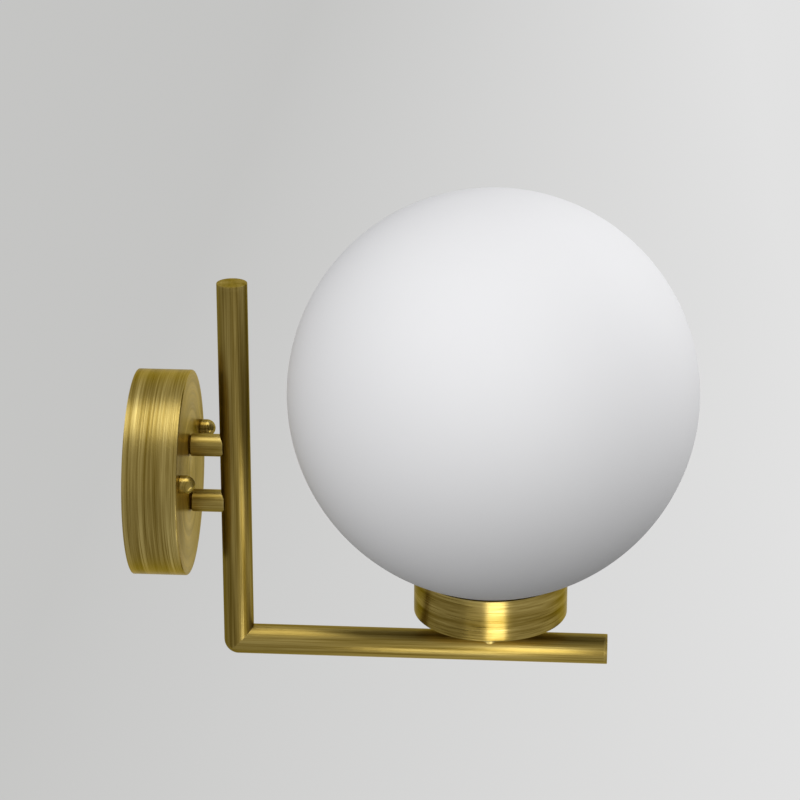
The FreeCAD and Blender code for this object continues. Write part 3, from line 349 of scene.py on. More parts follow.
# %% Plated metals and moulded skins
def plated(name, colour, dull, bright, roughness, scale=2600.0, depth=0.12):
    material, tree, shader, place = start_material(name, colour)
    skin = use(tree, grain, {"Vector": place, "Scale": scale})
    cloud = use(tree, smudges, {"Vector": place, "Size": 120.0})
    wear = use(tree, edge_wear, {"Vector": place, "Amount": 0.8})["Mask"]
    shade = blend_colours(tree, cloud["Cloud"], colour, dull)
    shade = blend_colours(tree, math_node(tree, "MULTIPLY", skin["Grain"], 0.25), shade, dull)
    shade = blend_colours(tree, wear, shade, bright)
    gloss = math_node(tree, "MULTIPLY_ADD", skin["Grain"], 0.10)
    gloss.node.inputs[2].default_value = roughness
    gloss = math_node(tree, "ADD", gloss, math_node(tree, "MULTIPLY", cloud["Print"], 0.12))
    bump = node(tree, "ShaderNodeBump", {"Height": skin["Height"], "Strength": depth,
                                         "Distance": 0.0001}).outputs[0]
    set_inputs(tree, shader, {"Base Color": shade, "Metallic": 1.0, "Roughness": gloss,
                              "Normal": bump})
    return material


def moulded(name, colour, dull, roughness, scale=2200.0, depth=0.15, coat=0.0):
    material, tree, shader, place = start_material(name, colour)
    skin = use(tree, grain, {"Vector": place, "Scale": scale})
    cloud = use(tree, smudges, {"Vector": place, "Size": 90.0})
    wear = use(tree, edge_wear, {"Vector": place, "Amount": 0.5})["Mask"]
    shade = blend_colours(tree, math_node(tree, "MULTIPLY", cloud["Cloud"], 0.6), colour, dull)
    shade = blend_colours(tree, math_node(tree, "MULTIPLY", wear, 0.6), shade,
                          [min(1.0, value * 1.25 + 0.02) for value in colour[:3]] + [1])
    gloss = math_node(tree, "MULTIPLY_ADD", skin["Grain"], 0.08)
    gloss.node.inputs[2].default_value = roughness
    gloss = math_node(tree, "ADD", gloss, math_node(tree, "MULTIPLY", cloud["Print"], 0.10))
    bump = node(tree, "ShaderNodeBump", {"Height": skin["Height"], "Strength": depth,
                                         "Distance": 0.0001}).outputs[0]
    set_inputs(tree, shader, {"Base Color": shade, "Roughness": gloss, "Normal": bump,
                              "Coat Weight": coat, "Coat Roughness": 0.12})
    return material


finishes = {
    "zinc_steel": plated("zinc_steel", (0.56, 0.57, 0.58, 1), (0.36, 0.37, 0.38, 1),
                         (0.78, 0.79, 0.8, 1), 0.30),
    "spring_steel": plated("spring_steel", (0.46, 0.47, 0.49, 1), (0.30, 0.31, 0.33, 1),
                           (0.7, 0.7, 0.72, 1), 0.2),
    "plain_brass": plated("plain_brass", (0.62, 0.46, 0.19, 1), (0.40, 0.27, 0.09, 1),
                          (0.85, 0.68, 0.36, 1), 0.24),
    "bulb_nickel": plated("bulb_nickel", (0.60, 0.59, 0.56, 1), (0.42, 0.41, 0.38, 1),
                          (0.82, 0.81, 0.78, 1), 0.22),
    "bulb_solder": plated("bulb_solder", (0.45, 0.45, 0.45, 1), (0.28, 0.28, 0.28, 1),
                          (0.68, 0.68, 0.68, 1), 0.38, depth=0.5),
    "light_board": moulded("light_board", (0.82, 0.82, 0.82, 1), (0.7, 0.7, 0.7, 1), 0.35),
    "white_nylon": moulded("white_nylon", (0.80, 0.79, 0.74, 1), (0.66, 0.65, 0.59, 1), 0.38),
    "clear_silicone": moulded("clear_silicone", (0.70, 0.70, 0.67, 1), (0.58, 0.58, 0.54, 1), 0.5),
    "white_ceramic": moulded("white_ceramic", (0.80, 0.79, 0.74, 1), (0.72, 0.70, 0.64, 1), 0.2,
                             coat=0.5),
    "black_phenolic": moulded("black_phenolic", (0.022, 0.021, 0.020, 1),
                              (0.040, 0.038, 0.036, 1), 0.28),
    "black_glass": moulded("black_glass", (0.010, 0.010, 0.011, 1), (0.02, 0.02, 0.021, 1), 0.08,
                           coat=0.6),
    "bulb_white": moulded("bulb_white", (0.84, 0.84, 0.82, 1), (0.78, 0.78, 0.76, 1), 0.34),
    "brown_wire": moulded("brown_wire", (0.14, 0.055, 0.025, 1), (0.19, 0.085, 0.045, 1), 0.4),
    "blue_wire": moulded("blue_wire", (0.015, 0.09, 0.33, 1), (0.04, 0.13, 0.38, 1), 0.4),
}
for name, material in finishes.items():
    print("finish", name, len(material.node_tree.nodes), "nodes")

# %% [markdown]
# The earth wire is green with a yellow stripe that winds round it, so its finish is made here:
# the stripe follows the angle round the wire, which the tube's own UV map gives.

# %% The striped earth wire
striped, tree, shader, place = start_material("earth_green", (0.06, 0.30, 0.08, 1))
across = node(tree, "ShaderNodeSeparateXYZ",
              {0: node(tree, "ShaderNodeUVMap", uv_map="UVMap").outputs[0]}).outputs
wound = math_node(tree, "MULTIPLY_ADD", across[0], 4.0)
tree.links.new(across[1], wound.node.inputs[2])
turned_by = math_node(tree, "FRACT", wound)
stripe = math_node(tree, "GREATER_THAN", turned_by, 0.62)
skin = use(tree, grain, {"Vector": place, "Scale": 2200.0})
shade = blend_colours(tree, stripe, (0.035, 0.22, 0.05, 1), (0.72, 0.56, 0.03, 1))
shade = blend_colours(tree, math_node(tree, "MULTIPLY", skin["Grain"], 0.2), shade,
                      (0.2, 0.3, 0.1, 1))
gloss = math_node(tree, "MULTIPLY_ADD", skin["Grain"], 0.08)
gloss.node.inputs[2].default_value = 0.4
set_inputs(tree, shader, {"Base Color": shade, "Roughness": gloss})
finishes["earth_green"] = striped
print("finish earth_green: stripe from the UV map")

# %% [markdown]
# ## Modelling helpers
# Most parts of this light were turned in a lathe. In Blender that is a half section, drawn as a
# string of vertices, and one spin round the axis. A corner is rounded by bevelling its vertex
# before the spin, as a turner breaks an edge.


# %% Helpers for turned pieces
def only(piece):
    """Deselect everything, then select this piece and make it active."""
    if bpy.context.object and bpy.context.object.mode != "OBJECT":
        bpy.ops.object.mode_set(mode="OBJECT")
    bpy.ops.object.select_all(action="DESELECT")
    piece.select_set(True)
    bpy.context.view_layer.objects.active = piece


def pick(piece, kind, test):
    """In edit mode, select the vertices, edges or faces whose place passes the test."""
    bpy.ops.mesh.select_all(action="DESELECT")
    bpy.ops.mesh.select_mode(type=kind)
    bpy.ops.object.mode_set(mode="OBJECT")
    mesh = piece.data
    items = {"VERT": mesh.vertices, "EDGE": mesh.edges, "FACE": mesh.polygons}[kind]
    for item in items:
        if kind == "VERT":
            where = item.co
        elif kind == "EDGE":
            ends = [mesh.vertices[index].co for index in item.vertices]
            where = (ends[0] + ends[1]) / 2
        else:
            where = item.center
        item.select = bool(test(where * 1000))
    bpy.ops.object.mode_set(mode="EDIT")


def settle(piece, smooth=32):
    """Leave edit mode, put the piece's place in its mesh and shade it smooth."""
    only(piece)
    bpy.ops.object.transform_apply(location=True, rotation=True, scale=True)
    bpy.ops.object.shade_smooth_by_angle(angle=math.radians(smooth))


def turned(name, stations, rounds=(), steps=128, facing=UPRIGHT, at=(0, 0, 0), smooth=32):
    """Spin a half section of (radius, height) stations; rounds are (station, radius, segments).

    A long side gets a ring close to each of its ends, so that the worn edge stays narrow."""
    bpy.ops.object.select_all(action="DESELECT")
    bpy.ops.mesh.primitive_plane_add(size=2 * MM, location=(0, 0, 0))
    piece = bpy.context.object
    piece.name = piece.data.name = name
    bpy.ops.object.mode_set(mode="EDIT")
    bpy.ops.mesh.select_mode(type="VERT")
    bpy.ops.mesh.select_all(action="SELECT")
    bpy.ops.mesh.merge(type="CENTER")
    bpy.ops.transform.translate(value=(stations[0][0] * MM, 0, stations[0][1] * MM))
    rounded = {index: radius for index, radius, segments in rounds}
    for index, ((r0, h0), (r1, h1)) in enumerate(zip(stations, stations[1:])):
        length = math.hypot(r1 - r0, h1 - h0)
        near, far = rounded.get(index, 0) + 0.5, rounded.get(index + 1, 0) + 0.5
        stops = [0, near / length, 1 - far / length, 1] if length > near + far + 1 else [0, 1]
        for before, after in zip(stops, stops[1:]):
            step = (after - before) * MM
            bpy.ops.mesh.extrude_vertices_move(
                TRANSFORM_OT_translate={"value": ((r1 - r0) * step, 0, (h1 - h0) * step)})
    for index, radius, segments in rounds:
        r, h = stations[index]
        pick(piece, "VERT", lambda where: abs(where.x - r) + abs(where.z - h) < 0.002)
        bpy.ops.mesh.bevel(offset=radius * MM, segments=segments, affect="VERTICES")
    bpy.ops.mesh.select_all(action="SELECT")
    bpy.ops.mesh.spin(steps=steps, angle=math.tau, center=(0, 0, 0), axis=(0, 0, 1))
    bpy.ops.mesh.select_all(action="SELECT")
    bpy.ops.mesh.remove_doubles(threshold=2e-6)
    bpy.ops.mesh.normals_make_consistent(inside=False)
    bpy.ops.object.mode_set(mode="OBJECT")
    piece.rotation_euler = facing
    piece.location = [value * MM for value in at]
    settle(piece, smooth)
    return piece


def arc(centre_r, centre_h, radius, start, end, count):
    """Stations on a circle, from one angle to another in degrees."""
    return [(centre_r + radius * math.cos(math.radians(start + (end - start) * i / count)),
             centre_h + radius * math.sin(math.radians(start + (end - start) * i / count)))
            for i in range(count + 1)]


def install(piece, body, nodes, slot, *materials):
    """Give the piece its finish and body, and let it stand for its CAD nodes."""
    piece.data.materials.clear()
    for material in materials:
        piece.data.materials.append(material)
    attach(piece, body)
    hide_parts(*nodes)
    size = piece.dimensions * 1000
    print(f"{piece.name}: {size.x:.1f} x {size.y:.1f} x {size.z:.1f} mm,",
          len(piece.data.polygons), "faces")


def modify(piece, kind, **settings):
    """Add a modifier and apply it at once."""
    only(piece)
    bpy.ops.object.modifier_add(type=kind)
    modifier = piece.modifiers[-1]
    for name, value in settings.items():
        setattr(modifier, name, value)
    bpy.ops.object.modifier_apply(modifier=modifier.name)


print("modelling helpers ready")

# %% [markdown]
# ## Canopy
# The canopy is a shallow round pan that hides the plate and wiring. It is one spun half section:
# down the outside, round the thin front edge, over the face, and back along the inside.

# %% Model the canopy
OUT = (math.radians(90), 0, 0)
inside, ceiling = CANOPY_RADIUS - 1.2, CANOPY_FACE - 1.2
canopy = turned("canopy_pan", [(inside, 0), (CANOPY_RADIUS, 0), (CANOPY_RADIUS, CANOPY_FACE),
                               (0, CANOPY_FACE), (0, ceiling), (inside, ceiling), (inside, 0)],
                rounds=[(2, 0.8, 5)], steps=192, facing=OUT)
install(canopy, "frame", ["canopy"], "brushed_brass", brass_canopy)

# %% [markdown]
# ## Dome nuts
# Two small domed nuts hold the canopy: a short cylinder that ends in half a ball. One is made,
# and its copy gets its own mesh and goes to the other side.

# %% Model the dome nuts
foot, shoulder = CANOPY_FACE + 0.02, CANOPY_FACE + 3.2
profile = [(0, foot), (NUT_RADIUS, foot)] + arc(0, shoulder, NUT_RADIUS, 0, 90, 14)
nut = turned("dome_nuts_pair", profile, rounds=[(1, 0.25, 3)], steps=64, facing=OUT,
             at=(NUT_SIDE, 0, NUT_RISE))
only(nut)
bpy.ops.object.duplicate(linked=False)
twin = bpy.context.object
twin.location.x = -2 * NUT_SIDE * MM
bpy.ops.object.transform_apply(location=True)
only(nut)
twin.select_set(True)
bpy.ops.object.join()
settle(nut)
install(nut, "frame", ["dome_nuts"], "brushed_brass", brass_nut)

# %% [markdown]
# ## Riser and arm
# The frame is two tubes joined at a mitre. Seen from outside, the corner is rounded like a ball
# of the tube's own radius. So each tube is a ring that is extruded along its length and closed
# with half a ball past the corner, given its wall, and cut along the mitre.


# %% Model the two tubes
def tube(name, start, corner):
    """A tube from start to the corner, rounded beyond it and cut through it at 45 degrees."""
    bpy.ops.object.select_all(action="DESELECT")
    direction = Vector(corner) - Vector(start)
    turn = direction.to_track_quat("Z", "X").to_euler()
    bpy.ops.mesh.primitive_circle_add(vertices=96, radius=TUBE_RADIUS * MM, fill_type="NOTHING",
                                      location=(0, 0, 0))
    piece = bpy.context.object
    piece.name = piece.data.name = name
    bpy.ops.object.mode_set(mode="EDIT")
    bpy.ops.mesh.select_all(action="SELECT")
    rings = [0, 0.6] + [direction.length * share for share in (0.2, 0.4, 0.6, 0.8)]
    rings += [direction.length - gap for gap in (12, 9, 7.5, 6, 4.5, 3, 1.5, 0)]
    for lower, upper in zip(rings, rings[1:]):
        bpy.ops.mesh.extrude_region_move(
            TRANSFORM_OT_translate={"value": (0, 0, (upper - lower) * MM)})
    rows, before = 14, (TUBE_RADIUS, 0.0)
    for row in range(1, rows):
        angle = math.radians(90 * row / rows)
        radius, height = TUBE_RADIUS * math.cos(angle), TUBE_RADIUS * math.sin(angle)
        bpy.ops.mesh.extrude_region_move(
            TRANSFORM_OT_translate={"value": (0, 0, (height - before[1]) * MM)})
        factor = radius / before[0]
        bpy.ops.transform.resize(value=(factor, factor, 1),
                                 center_override=(0, 0, (direction.length + height) * MM))
        before = (radius, height)
    bpy.ops.mesh.extrude_region_move(
        TRANSFORM_OT_translate={"value": (0, 0, (TUBE_RADIUS - before[1]) * MM)})
    bpy.ops.mesh.merge(type="CENTER")
    bpy.ops.mesh.select_all(action="SELECT")
    bpy.ops.mesh.normals_make_consistent(inside=False)
    bpy.ops.object.mode_set(mode="OBJECT")
    modify(piece, "SOLIDIFY", thickness=TUBE_WALL * MM, offset=-1, use_even_offset=True)
    piece.rotation_euler = turn
    piece.location = [value * MM for value in start]
    settle(piece)
    bpy.ops.object.mode_set(mode="EDIT")
    bpy.ops.mesh.select_all(action="SELECT")
    far = Vector(start) - Vector(corner)
    keep = Vector((0, 1, 1)) if far.y + far.z > 0 else Vector((0, -1, -1))
    bpy.ops.mesh.bisect(plane_co=[value * MM for value in corner], plane_no=keep,
                        clear_inner=True, clear_outer=False, use_fill=False)
    bpy.ops.mesh.select_all(action="DESELECT")
    bpy.ops.mesh.select_mode(type="EDGE")
    bpy.ops.mesh.select_non_manifold(extend=False, use_wire=False, use_boundary=True,
                                     use_multi_face=False, use_non_contiguous=False,
                                     use_verts=False)
    bpy.ops.mesh.bridge_edge_loops()
    bpy.ops.mesh.select_all(action="SELECT")
    bpy.ops.mesh.normals_make_consistent(inside=False)
    settle(piece)
    return piece


CAP_THICKNESS = 1.6
corner = (0, RISER, ARM)
riser = tube("riser", (0, RISER, TUBE_TOP - CAP_THICKNESS), corner)
install(riser, "frame", ["riser_tube"], "brushed_brass", brass_riser)
arm = tube("arm", (0, TUBE_END + CAP_THICKNESS, ARM), corner)
install(arm, "frame", ["arm_tube"], "brushed_brass", brass_arm)

# %% [markdown]
# ## End caps
# Each tube ends in a flat turned disc, with its edge just broken and a spigot inside the tube.

# %% Model the end caps
SPIGOT_RADIUS, SPIGOT_END = TUBE_RADIUS - TUBE_WALL, -7.6
cap_section = [(0, 0), (TUBE_RADIUS, 0), (TUBE_RADIUS, -CAP_THICKNESS),
               (SPIGOT_RADIUS, -CAP_THICKNESS), (SPIGOT_RADIUS, SPIGOT_END), (0, SPIGOT_END)]
riser_cap = turned("riser_cap", cap_section, rounds=[(1, 0.3, 2)], steps=96,
                   at=(0, RISER, TUBE_TOP))
install(riser_cap, "frame", ["riser_end_cap"], "brushed_brass", brass_riser)
arm_cap = turned("arm_cap", cap_section, rounds=[(1, 0.3, 2)], steps=96, facing=OUT,
                 at=(0, TUBE_END, ARM))
install(arm_cap, "frame", ["arm_end_cap"], "brushed_brass",
        brushed_brass("brass_arm_cap", (0, 0, ARM), LEVEL, "Y", brush_round, 1.4, 2600.0,
                      rubbed_edge=0.1))

# %% [markdown]
# ## Standoffs and neck
# A short sleeve that stands on a round tube has its end hollowed to the tube's curve. So each
# sleeve starts as a cylinder that runs into the tube, and a cutter of the tube's radius takes
# away what overlaps. The sleeves have a 1 mm chamfer where they meet the canopy, and extra rings
# keep the worn edge narrow.


# %% Model the standoffs and the neck
def saddle(name, radius, start, length, facing, cutter_at, cutter_facing, edge, segments):
    """A cylinder with a broken or chamfered near edge, cut to the curve of a tube."""
    bpy.ops.object.select_all(action="DESELECT")
    bpy.ops.mesh.primitive_cylinder_add(vertices=80, radius=radius * MM, depth=length * MM,
                                        location=(0, 0, length * MM / 2))
    piece = bpy.context.object
    piece.name = piece.data.name = name
    bpy.ops.object.transform_apply(location=True)
    bpy.ops.object.mode_set(mode="EDIT")
    pick(piece, "EDGE", lambda where: where.z < 0.001)
    bpy.ops.mesh.bevel(offset=edge * MM, segments=segments, affect="EDGES")
    for height in (edge + 0.5, edge + 2, length * 0.4, length * 0.7, length - 1):
        bpy.ops.mesh.select_all(action="SELECT")
        bpy.ops.mesh.bisect(plane_co=(0, 0, height * MM), plane_no=(0, 0, 1))
    bpy.ops.object.mode_set(mode="OBJECT")
    piece.rotation_euler = facing
    piece.location = [value * MM for value in start]
    bpy.ops.object.transform_apply(location=True, rotation=True)
    bpy.ops.object.select_all(action="DESELECT")
    bpy.ops.mesh.primitive_cylinder_add(vertices=96, radius=TUBE_RADIUS * MM, depth=60 * MM,
                                        location=[value * MM for value in cutter_at],
                                        rotation=cutter_facing)
    cutter = bpy.context.object
    modify(piece, "BOOLEAN", operation="DIFFERENCE", solver="EXACT", object=cutter)
    only(cutter)
    bpy.ops.object.delete()
    settle(piece)
    return piece


for label, height in (("upper", SLEEVE_RISE), ("lower", -SLEEVE_RISE)):
    sleeve = saddle("sleeve_" + label, SLEEVE_RADIUS, (0, -CANOPY_FACE, height), SLEEVE_LENGTH,
                    OUT, (0, RISER, height), UPRIGHT, 1, 1)
    install(sleeve, "frame", ["standoff_" + label], "brushed_brass", brass_standoff)
neck = saddle("cup_neck", 6.5, (0, REACH, CUP_FLOOR), 19.8, (math.radians(180), 0, 0),
              (0, REACH, ARM), OUT, 0.2, 3)
install(neck, "frame", ["arm_neck"], "brushed_brass", brass_neck)

# %% [markdown]
# ## Cup
# The cup is a straight-sided pan with a flat floor, a small radius under its edge and a hole for
# the threaded stem. The rim is left square with just its edges broken.

# %% Model the cup
STEM_HOLE, CUP_INSIDE, CUP_BED = 5.2, CUP_RADIUS - 1.5, CUP_FLOOR + 1.5
cup = turned("cup", [(STEM_HOLE, CUP_FLOOR), (CUP_RADIUS, CUP_FLOOR), (CUP_RADIUS, CUP_RIM),
                     (CUP_INSIDE, CUP_RIM), (CUP_INSIDE, CUP_BED), (STEM_HOLE, CUP_BED),
                     (STEM_HOLE, CUP_FLOOR)],
             rounds=[(1, 0.8, 5), (2, 0.2, 2), (3, 0.2, 2), (4, 0.6, 3)], steps=192,
             at=(0, REACH, 0))
install(cup, "frame", ["globe_cup"], "brushed_brass", brass_cup)

# %% [markdown]
# ## Globe
# The globe was blown: a ball whose open neck was drawn down and cut. It starts as a ball of
# rings, the bottom is cut away where the neck meets it, the open rim is drawn down, and the
# glass gets its 3 mm wall. A bevel where ball and neck meet is the soft shoulder of blown glass.

# %% Model the globe
bpy.ops.object.select_all(action="DESELECT")
bpy.ops.mesh.primitive_uv_sphere_add(segments=160, ring_count=112, radius=GLOBE_RADIUS * MM,
                                     location=(0, REACH * MM, GLOBE_CENTRE * MM))
globe = bpy.context.object
globe.name = globe.data.name = "opal_globe"
bpy.ops.object.transform_apply(location=True)
shoulder = GLOBE_CENTRE - math.sqrt(GLOBE_RADIUS ** 2 - NECK_RADIUS ** 2)
bpy.ops.object.mode_set(mode="EDIT")
bpy.ops.mesh.select_all(action="SELECT")
bpy.ops.mesh.bisect(plane_co=(0, REACH * MM, shoulder * MM), plane_no=(0, 0, 1),
                    clear_inner=True, clear_outer=False, use_fill=False)
pick(globe, "EDGE", lambda where: where.z < shoulder + 0.001)
for drop in (1.0, 5.0, 5.0, 6.39):
    bpy.ops.mesh.extrude_region_move(TRANSFORM_OT_translate={"value": (0, 0, -drop * MM)})
bpy.ops.mesh.select_all(action="SELECT")
bpy.ops.mesh.normals_make_consistent(inside=False)
pick(globe, "EDGE", lambda where: abs(where.z - shoulder) < 0.001)
bpy.ops.mesh.bevel(offset=0.6 * MM, segments=4, affect="EDGES")
bpy.ops.object.mode_set(mode="OBJECT")
modify(globe, "SOLIDIFY", thickness=GLOBE_WALL * MM, offset=-1, use_even_offset=True)
bpy.ops.object.mode_set(mode="EDIT")
foot = min(vertex.co.z for vertex in globe.data.vertices) * 1000
pick(globe, "EDGE", lambda where: where.z < foot + 0.001 and (
    min(abs(math.hypot(where.x, where.y - REACH) - radius)
        for radius in (NECK_RADIUS, NECK_RADIUS - GLOBE_WALL)) < 0.05))
bpy.ops.mesh.bevel(offset=0.5 * MM, segments=3, affect="EDGES")
settle(globe, 40)
install(globe, "globe", ["globe"], "opal_glass", opal)

# %% [markdown]
# ## Gasket
# A soft ring in the cup's floor takes the glass. Its section is a slab with rounded edges.

# %% Model the gasket
GASKET_TOP = CUP_BED + 2
gasket = turned("soft_ring", [(30.55, CUP_BED), (36.35, CUP_BED), (36.35, GASKET_TOP),
                              (30.55, GASKET_TOP), (30.55, CUP_BED)],
                rounds=[(1, 0.4, 3), (2, 0.7, 4), (3, 0.7, 4)], steps=128, at=(0, REACH, 0))
install(gasket, "frame", ["globe_gasket"], "clear_silicone", finishes["clear_silicone"])

# %% [markdown]
# ## The lamp inside
# The lampholder's skirt has upright grips for the fingers, so every fourth face round it is
# inset and pushed in. The bulb is a screw cap, a flared housing and a white dome.

# %% Model the lampholder
skirt = turned("holder_skirt", [(17.9, -39.8), (20, -39.8), (20, -37.2), (20, -11), (20, -7.8),
                                (15.6, -7.8), (15.6, -9.8), (17.9, -9.8), (17.9, -39.8)],
               rounds=[(4, 1.0, 4), (5, 0.4, 2)], steps=144, at=(0, REACH, 0))
bpy.ops.object.mode_set(mode="EDIT")
pick(skirt, "FACE", lambda where: abs(where.z + 24.1) < 1 and int(
    (math.degrees(math.atan2(where.x, where.y - REACH)) % 360) / 2.5) % 4 == 0
    and math.hypot(where.x, where.y - REACH) > 19)
bpy.ops.mesh.inset(thickness=0.12 * MM, depth=-0.45 * MM, use_individual=True)
settle(skirt, 25)
install(skirt, "frame", ["lampholder_skirt"], "black_phenolic", finishes["black_phenolic"])
holder_cap = turned("holder_cap", [(5.2, -63.8), (12, -63.8), (20, -55.8), (20, -39.8),
                                   (17.9, -39.8), (17.9, -54.8), (11.2, -60.8), (5.2, -60.8),
                                   (5.2, -63.8)],
                    rounds=[(1, 0.8, 3), (2, 1.5, 4)], steps=128, at=(0, REACH, 0))
install(holder_cap, "frame", ["lampholder_cap"], "black_phenolic", finishes["black_phenolic"])

# %% Model the bulb
crests = []
for turn in range(4):
    low = -24.5 + 3.63 * turn
    crests += [(12.3, low), (12.75, low + 0.6), (13.15, low + 1.3), (13.15, low + 1.75),
               (12.75, low + 2.45), (12.3, low + 3.05)]
bulb_cap = turned("screw_cap", [(9.0, -28.6), (12.3, -27.4)] + crests + [(12.3, -9.0),
                  (13.2, -8.4), (13.2, -5.8), (12.8, -5.8), (11.9, -8.6), (11.9, -27.0),
                  (8.8, -28.2), (9.0, -28.6)], steps=96, at=(0, REACH, 0))
install(bulb_cap, "bulb", ["bulb_cap"], "bulb_nickel", finishes["bulb_nickel"])
DOME_CENTRE, DOME_FOOT = 44.2, -25.7
outside = arc(0, DOME_CENTRE, 30, DOME_FOOT, 90, 34)
dome = turned("bulb_dome_shell", outside + arc(0, DOME_CENTRE, 28.8, 90, DOME_FOOT, 34)
              + outside[:1], steps=128, at=(0, REACH, 0))
install(dome, "bulb", ["bulb_dome"], "bulb_white", finishes["bulb_white"])
print("bulb shapes made")

# %% [markdown]
# ## Wires
# Two wires run from the terminal block down through the lower standoff, the riser and the arm,
# and up the threaded stem to the lampholder. A third one earths the mounting plate. Each is a
# curve with a round section, turned into a mesh. A bend gets a point on each side of it, so that
# the wire turns there in a small even curve.


# %% Model the three wires
WIRE_RADIUS, BEND = 0.9, 5.5


def wire(name, route, node_name, finish):
    """A round wire along a route, which turns in a small curve at each of its corners."""
    route = [Vector(point) for point in route]
    points = route[:1]
    for before, here, after in zip(route, route[1:], route[2:]):
        near, far = (here + way.normalized() * min(BEND, way.length * 0.45)
                     for way in (before - here, after - here))
        points += [near, here, far]
    points.append(route[-1])
    bpy.ops.object.select_all(action="DESELECT")
    bpy.ops.curve.primitive_nurbs_path_add(location=(0, 0, 0))
    piece = bpy.context.object
    piece.name = piece.data.name = name
    spline = piece.data.splines[0]
    spline.points.add(len(points) - len(spline.points))
    for point, where in zip(spline.points, points):
        point.co = (where.x * MM, where.y * MM, where.z * MM, 1)
    spline.order_u, spline.use_endpoint_u, spline.resolution_u = 3, True, 6
    piece.data.bevel_depth, piece.data.bevel_resolution = WIRE_RADIUS * MM, 4
    piece.data.use_fill_caps = True
    bpy.ops.object.convert(target="MESH")
    settle(piece, 40)
    install(piece, "frame", [node_name], finish, finishes[finish])


BLOCK = -7.6
for side, pole, label, finish in ((1, 8, "live", "brown_wire"), (-1, 0, "neutral", "blue_wire")):
    inner = 1.25 * side
    wire(label + "_lead", [
        (pole, BLOCK, 28), (pole, BLOCK, 10), (inner, BLOCK, -2.75), (inner, BLOCK, -SLEEVE_RISE),
        (inner, RISER, -SLEEVE_RISE), (inner, RISER, ARM), (inner, REACH, ARM),
        (inner, REACH, -60.8), (9 * side, REACH, -52.8), (9 * side, REACH, -44.1)],
         label + "_wire", finish)
wire("earth_lead", [(-8, BLOCK, 28), (-8, BLOCK, 10), (-7, -4.2, -9.9), (-7, -4.2, -15.9)],
     "earth_wire", "earth_green")

# %% [markdown]
# ## Finishes for the parts that keep their solids
# Plates, nuts, washers, screws and the spring already have the right shape, so they only get
# their finishes. Each node's material slot in the record says which one.

# %% Dress the remaining nodes
slot_of = {part["node"]: part["material_slot"] for part in frame["record"]["subparts"]}
dressed = 0
for name, item in frame["nodes"].items():
    chosen = finishes.get(slot_of[name], brass_neck)
    if item.material_slots:
        for slot in item.material_slots:
            slot.material = chosen
    else:
        item.data.materials.append(chosen)
    dressed += 1
print(dressed, "nodes dressed")

# %% [markdown]
# ## Floor, background and light
# A wide pale floor lies well below the light, and the pale background goes on beyond it. The
# floor's colour is painted lighter towards -y and darker towards +y: a painted light falloff. Four
# soft windows light the matt glass from the front, the right and the left. The polished metal
# gets its own lamps, which show in it as sheen only: a large one overhead draws the bright band
# on the canopy's rim and along the arm, and two small low ones give the cup its upright bar and
# the arm the line under it.

# %% Set the stage
bpy.ops.object.select_all(action="DESELECT")
bpy.ops.mesh.primitive_plane_add(size=60, location=(0, 0, -0.75))
floor = bpy.context.object
floor.name = "pale_floor"
ground, tree, shader, place = start_material("pale_floor", (0.7, 0.7, 0.7, 1))
paper = use(tree, smudges, {"Vector": place, "Size": 0.6})
side = node(tree, "ShaderNodeSeparateXYZ", {0: place}).outputs[1]
# The floor's diffuse colour is painted lighter towards -y: a painted light falloff. The paper
# clouds are faint smudges.
painted_falloff_and_smudges = blend_colours(tree, spread(tree, side, 0.35, -0.5), (0.19, 0.19, 0.185, 1),
                     (0.21, 0.21, 0.205, 1))
painted_falloff_and_smudges = blend_colours(tree, math_node(tree, "MULTIPLY", paper["Cloud"], 0.08), painted_falloff_and_smudges,
                     (0.17, 0.17, 0.17, 1))
set_inputs(tree, shader, {"Base Color": painted_falloff_and_smudges, "Roughness": 0.9, "Specular IOR Level": 0.1})
# Painted light falloff in the colour the camera and reflections see: 0.67 towards +y, 0.92 towards
# -y.
pale = blend_colours(tree, spread(tree, side, 0.35, -0.5), (0.67, 0.67, 0.66, 1),
                     (0.92, 0.92, 0.92, 1))
glow = node(tree, "ShaderNodeEmission", {"Color": pale}).outputs[0]
rays = node(tree, "ShaderNodeLightPath").outputs
seen = math_node(tree, "MAXIMUM", rays["Is Camera Ray"],
                 math_node(tree, "MAXIMUM", rays["Is Glossy Ray"], rays["Is Transmission Ray"]))
mixed = node(tree, "ShaderNodeMixShader", {0: math_node(tree, "MULTIPLY", seen, 0.8),
                                           1: shader.outputs[0], 2: glow}).outputs[0]
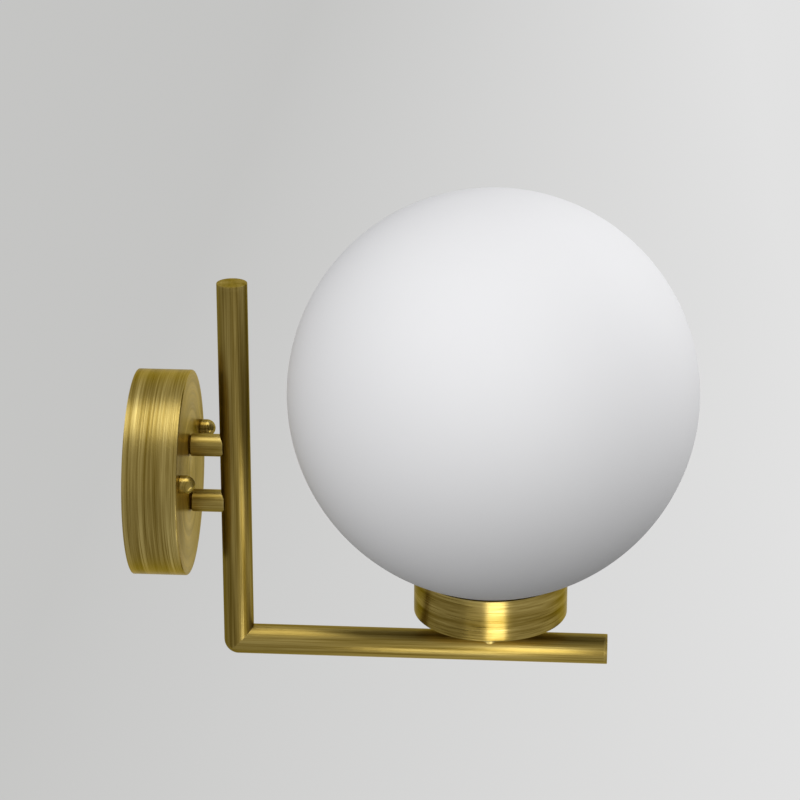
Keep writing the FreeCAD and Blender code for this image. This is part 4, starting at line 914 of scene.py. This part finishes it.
tree.links.new(mixed, tree.nodes["Material Output"].inputs["Surface"])
floor.data.materials.append(ground)

world = bpy.data.worlds.new("pale_room")
bpy.context.scene.world = world
world.use_nodes = True
tree = world.node_tree
rays = node(tree, "ShaderNodeLightPath").outputs
seen = math_node(tree, "MAXIMUM", rays["Is Camera Ray"],
                 math_node(tree, "MAXIMUM", rays["Is Glossy Ray"], rays["Is Transmission Ray"]))
shade = blend_colours(tree, seen, (0.47, 0.47, 0.475, 1), (0.74, 0.74, 0.74, 1))
tree.links.new(shade, tree.nodes["Background"].inputs["Color"])


MATT, SHEEN = "matt", "sheen"


def soft_lamp(name, place, aim_at, width, height, power, shown_in):
    """A soft rectangle that lights the matt surfaces or shows as sheen on the metal."""
    data = bpy.data.lights.new(name, "AREA")
    data.shape, data.size, data.size_y, data.energy = "RECTANGLE", width, height, power
    lamp = bpy.data.objects.new(name, data)
    bpy.context.scene.collection.objects.link(lamp)
    lamp.location = place
    lamp.rotation_euler = (Vector(place) - Vector(aim_at)).to_track_quat("Z", "Y").to_euler()
    lamp.visible_camera = False
    lamp.visible_diffuse = shown_in == MATT
    lamp.visible_glossy = shown_in == SHEEN
    print(name, "at", place, f"{power:g} W")
    return lamp


soft_lamp("overhead", (-0.22, -0.2, 1.5), (0, -0.13, 0), 1.0, 1.1, 11.5, SHEEN)
soft_lamp("cup_glow", (-0.12, -0.195, -0.095), (0, -0.175, -0.06), 0.05, 0.05, 0.055, SHEEN)
soft_lamp("arm_glow", (-0.12, -0.145, -0.16), (0, -0.145, -0.09), 0.09, 0.03, 0.042, SHEEN)
for name, place, size, power in (
        ("right_above", (-0.5, -1.2, 1.2), 0.9, 4.6), ("front_window", (-1.6, -0.3, 0.9), 0.8, 11),
        ("left_bounce", (-0.8, 0.9, 0.4), 0.8, 4.2), ("far_right", (0.9, -1.2, 0.5), 0.8, 8.5)):
    soft_lamp(name, place, (0, -0.13, 0.03), size, size, power, MATT)
bpy.context.scene.view_settings.view_transform = "Standard"
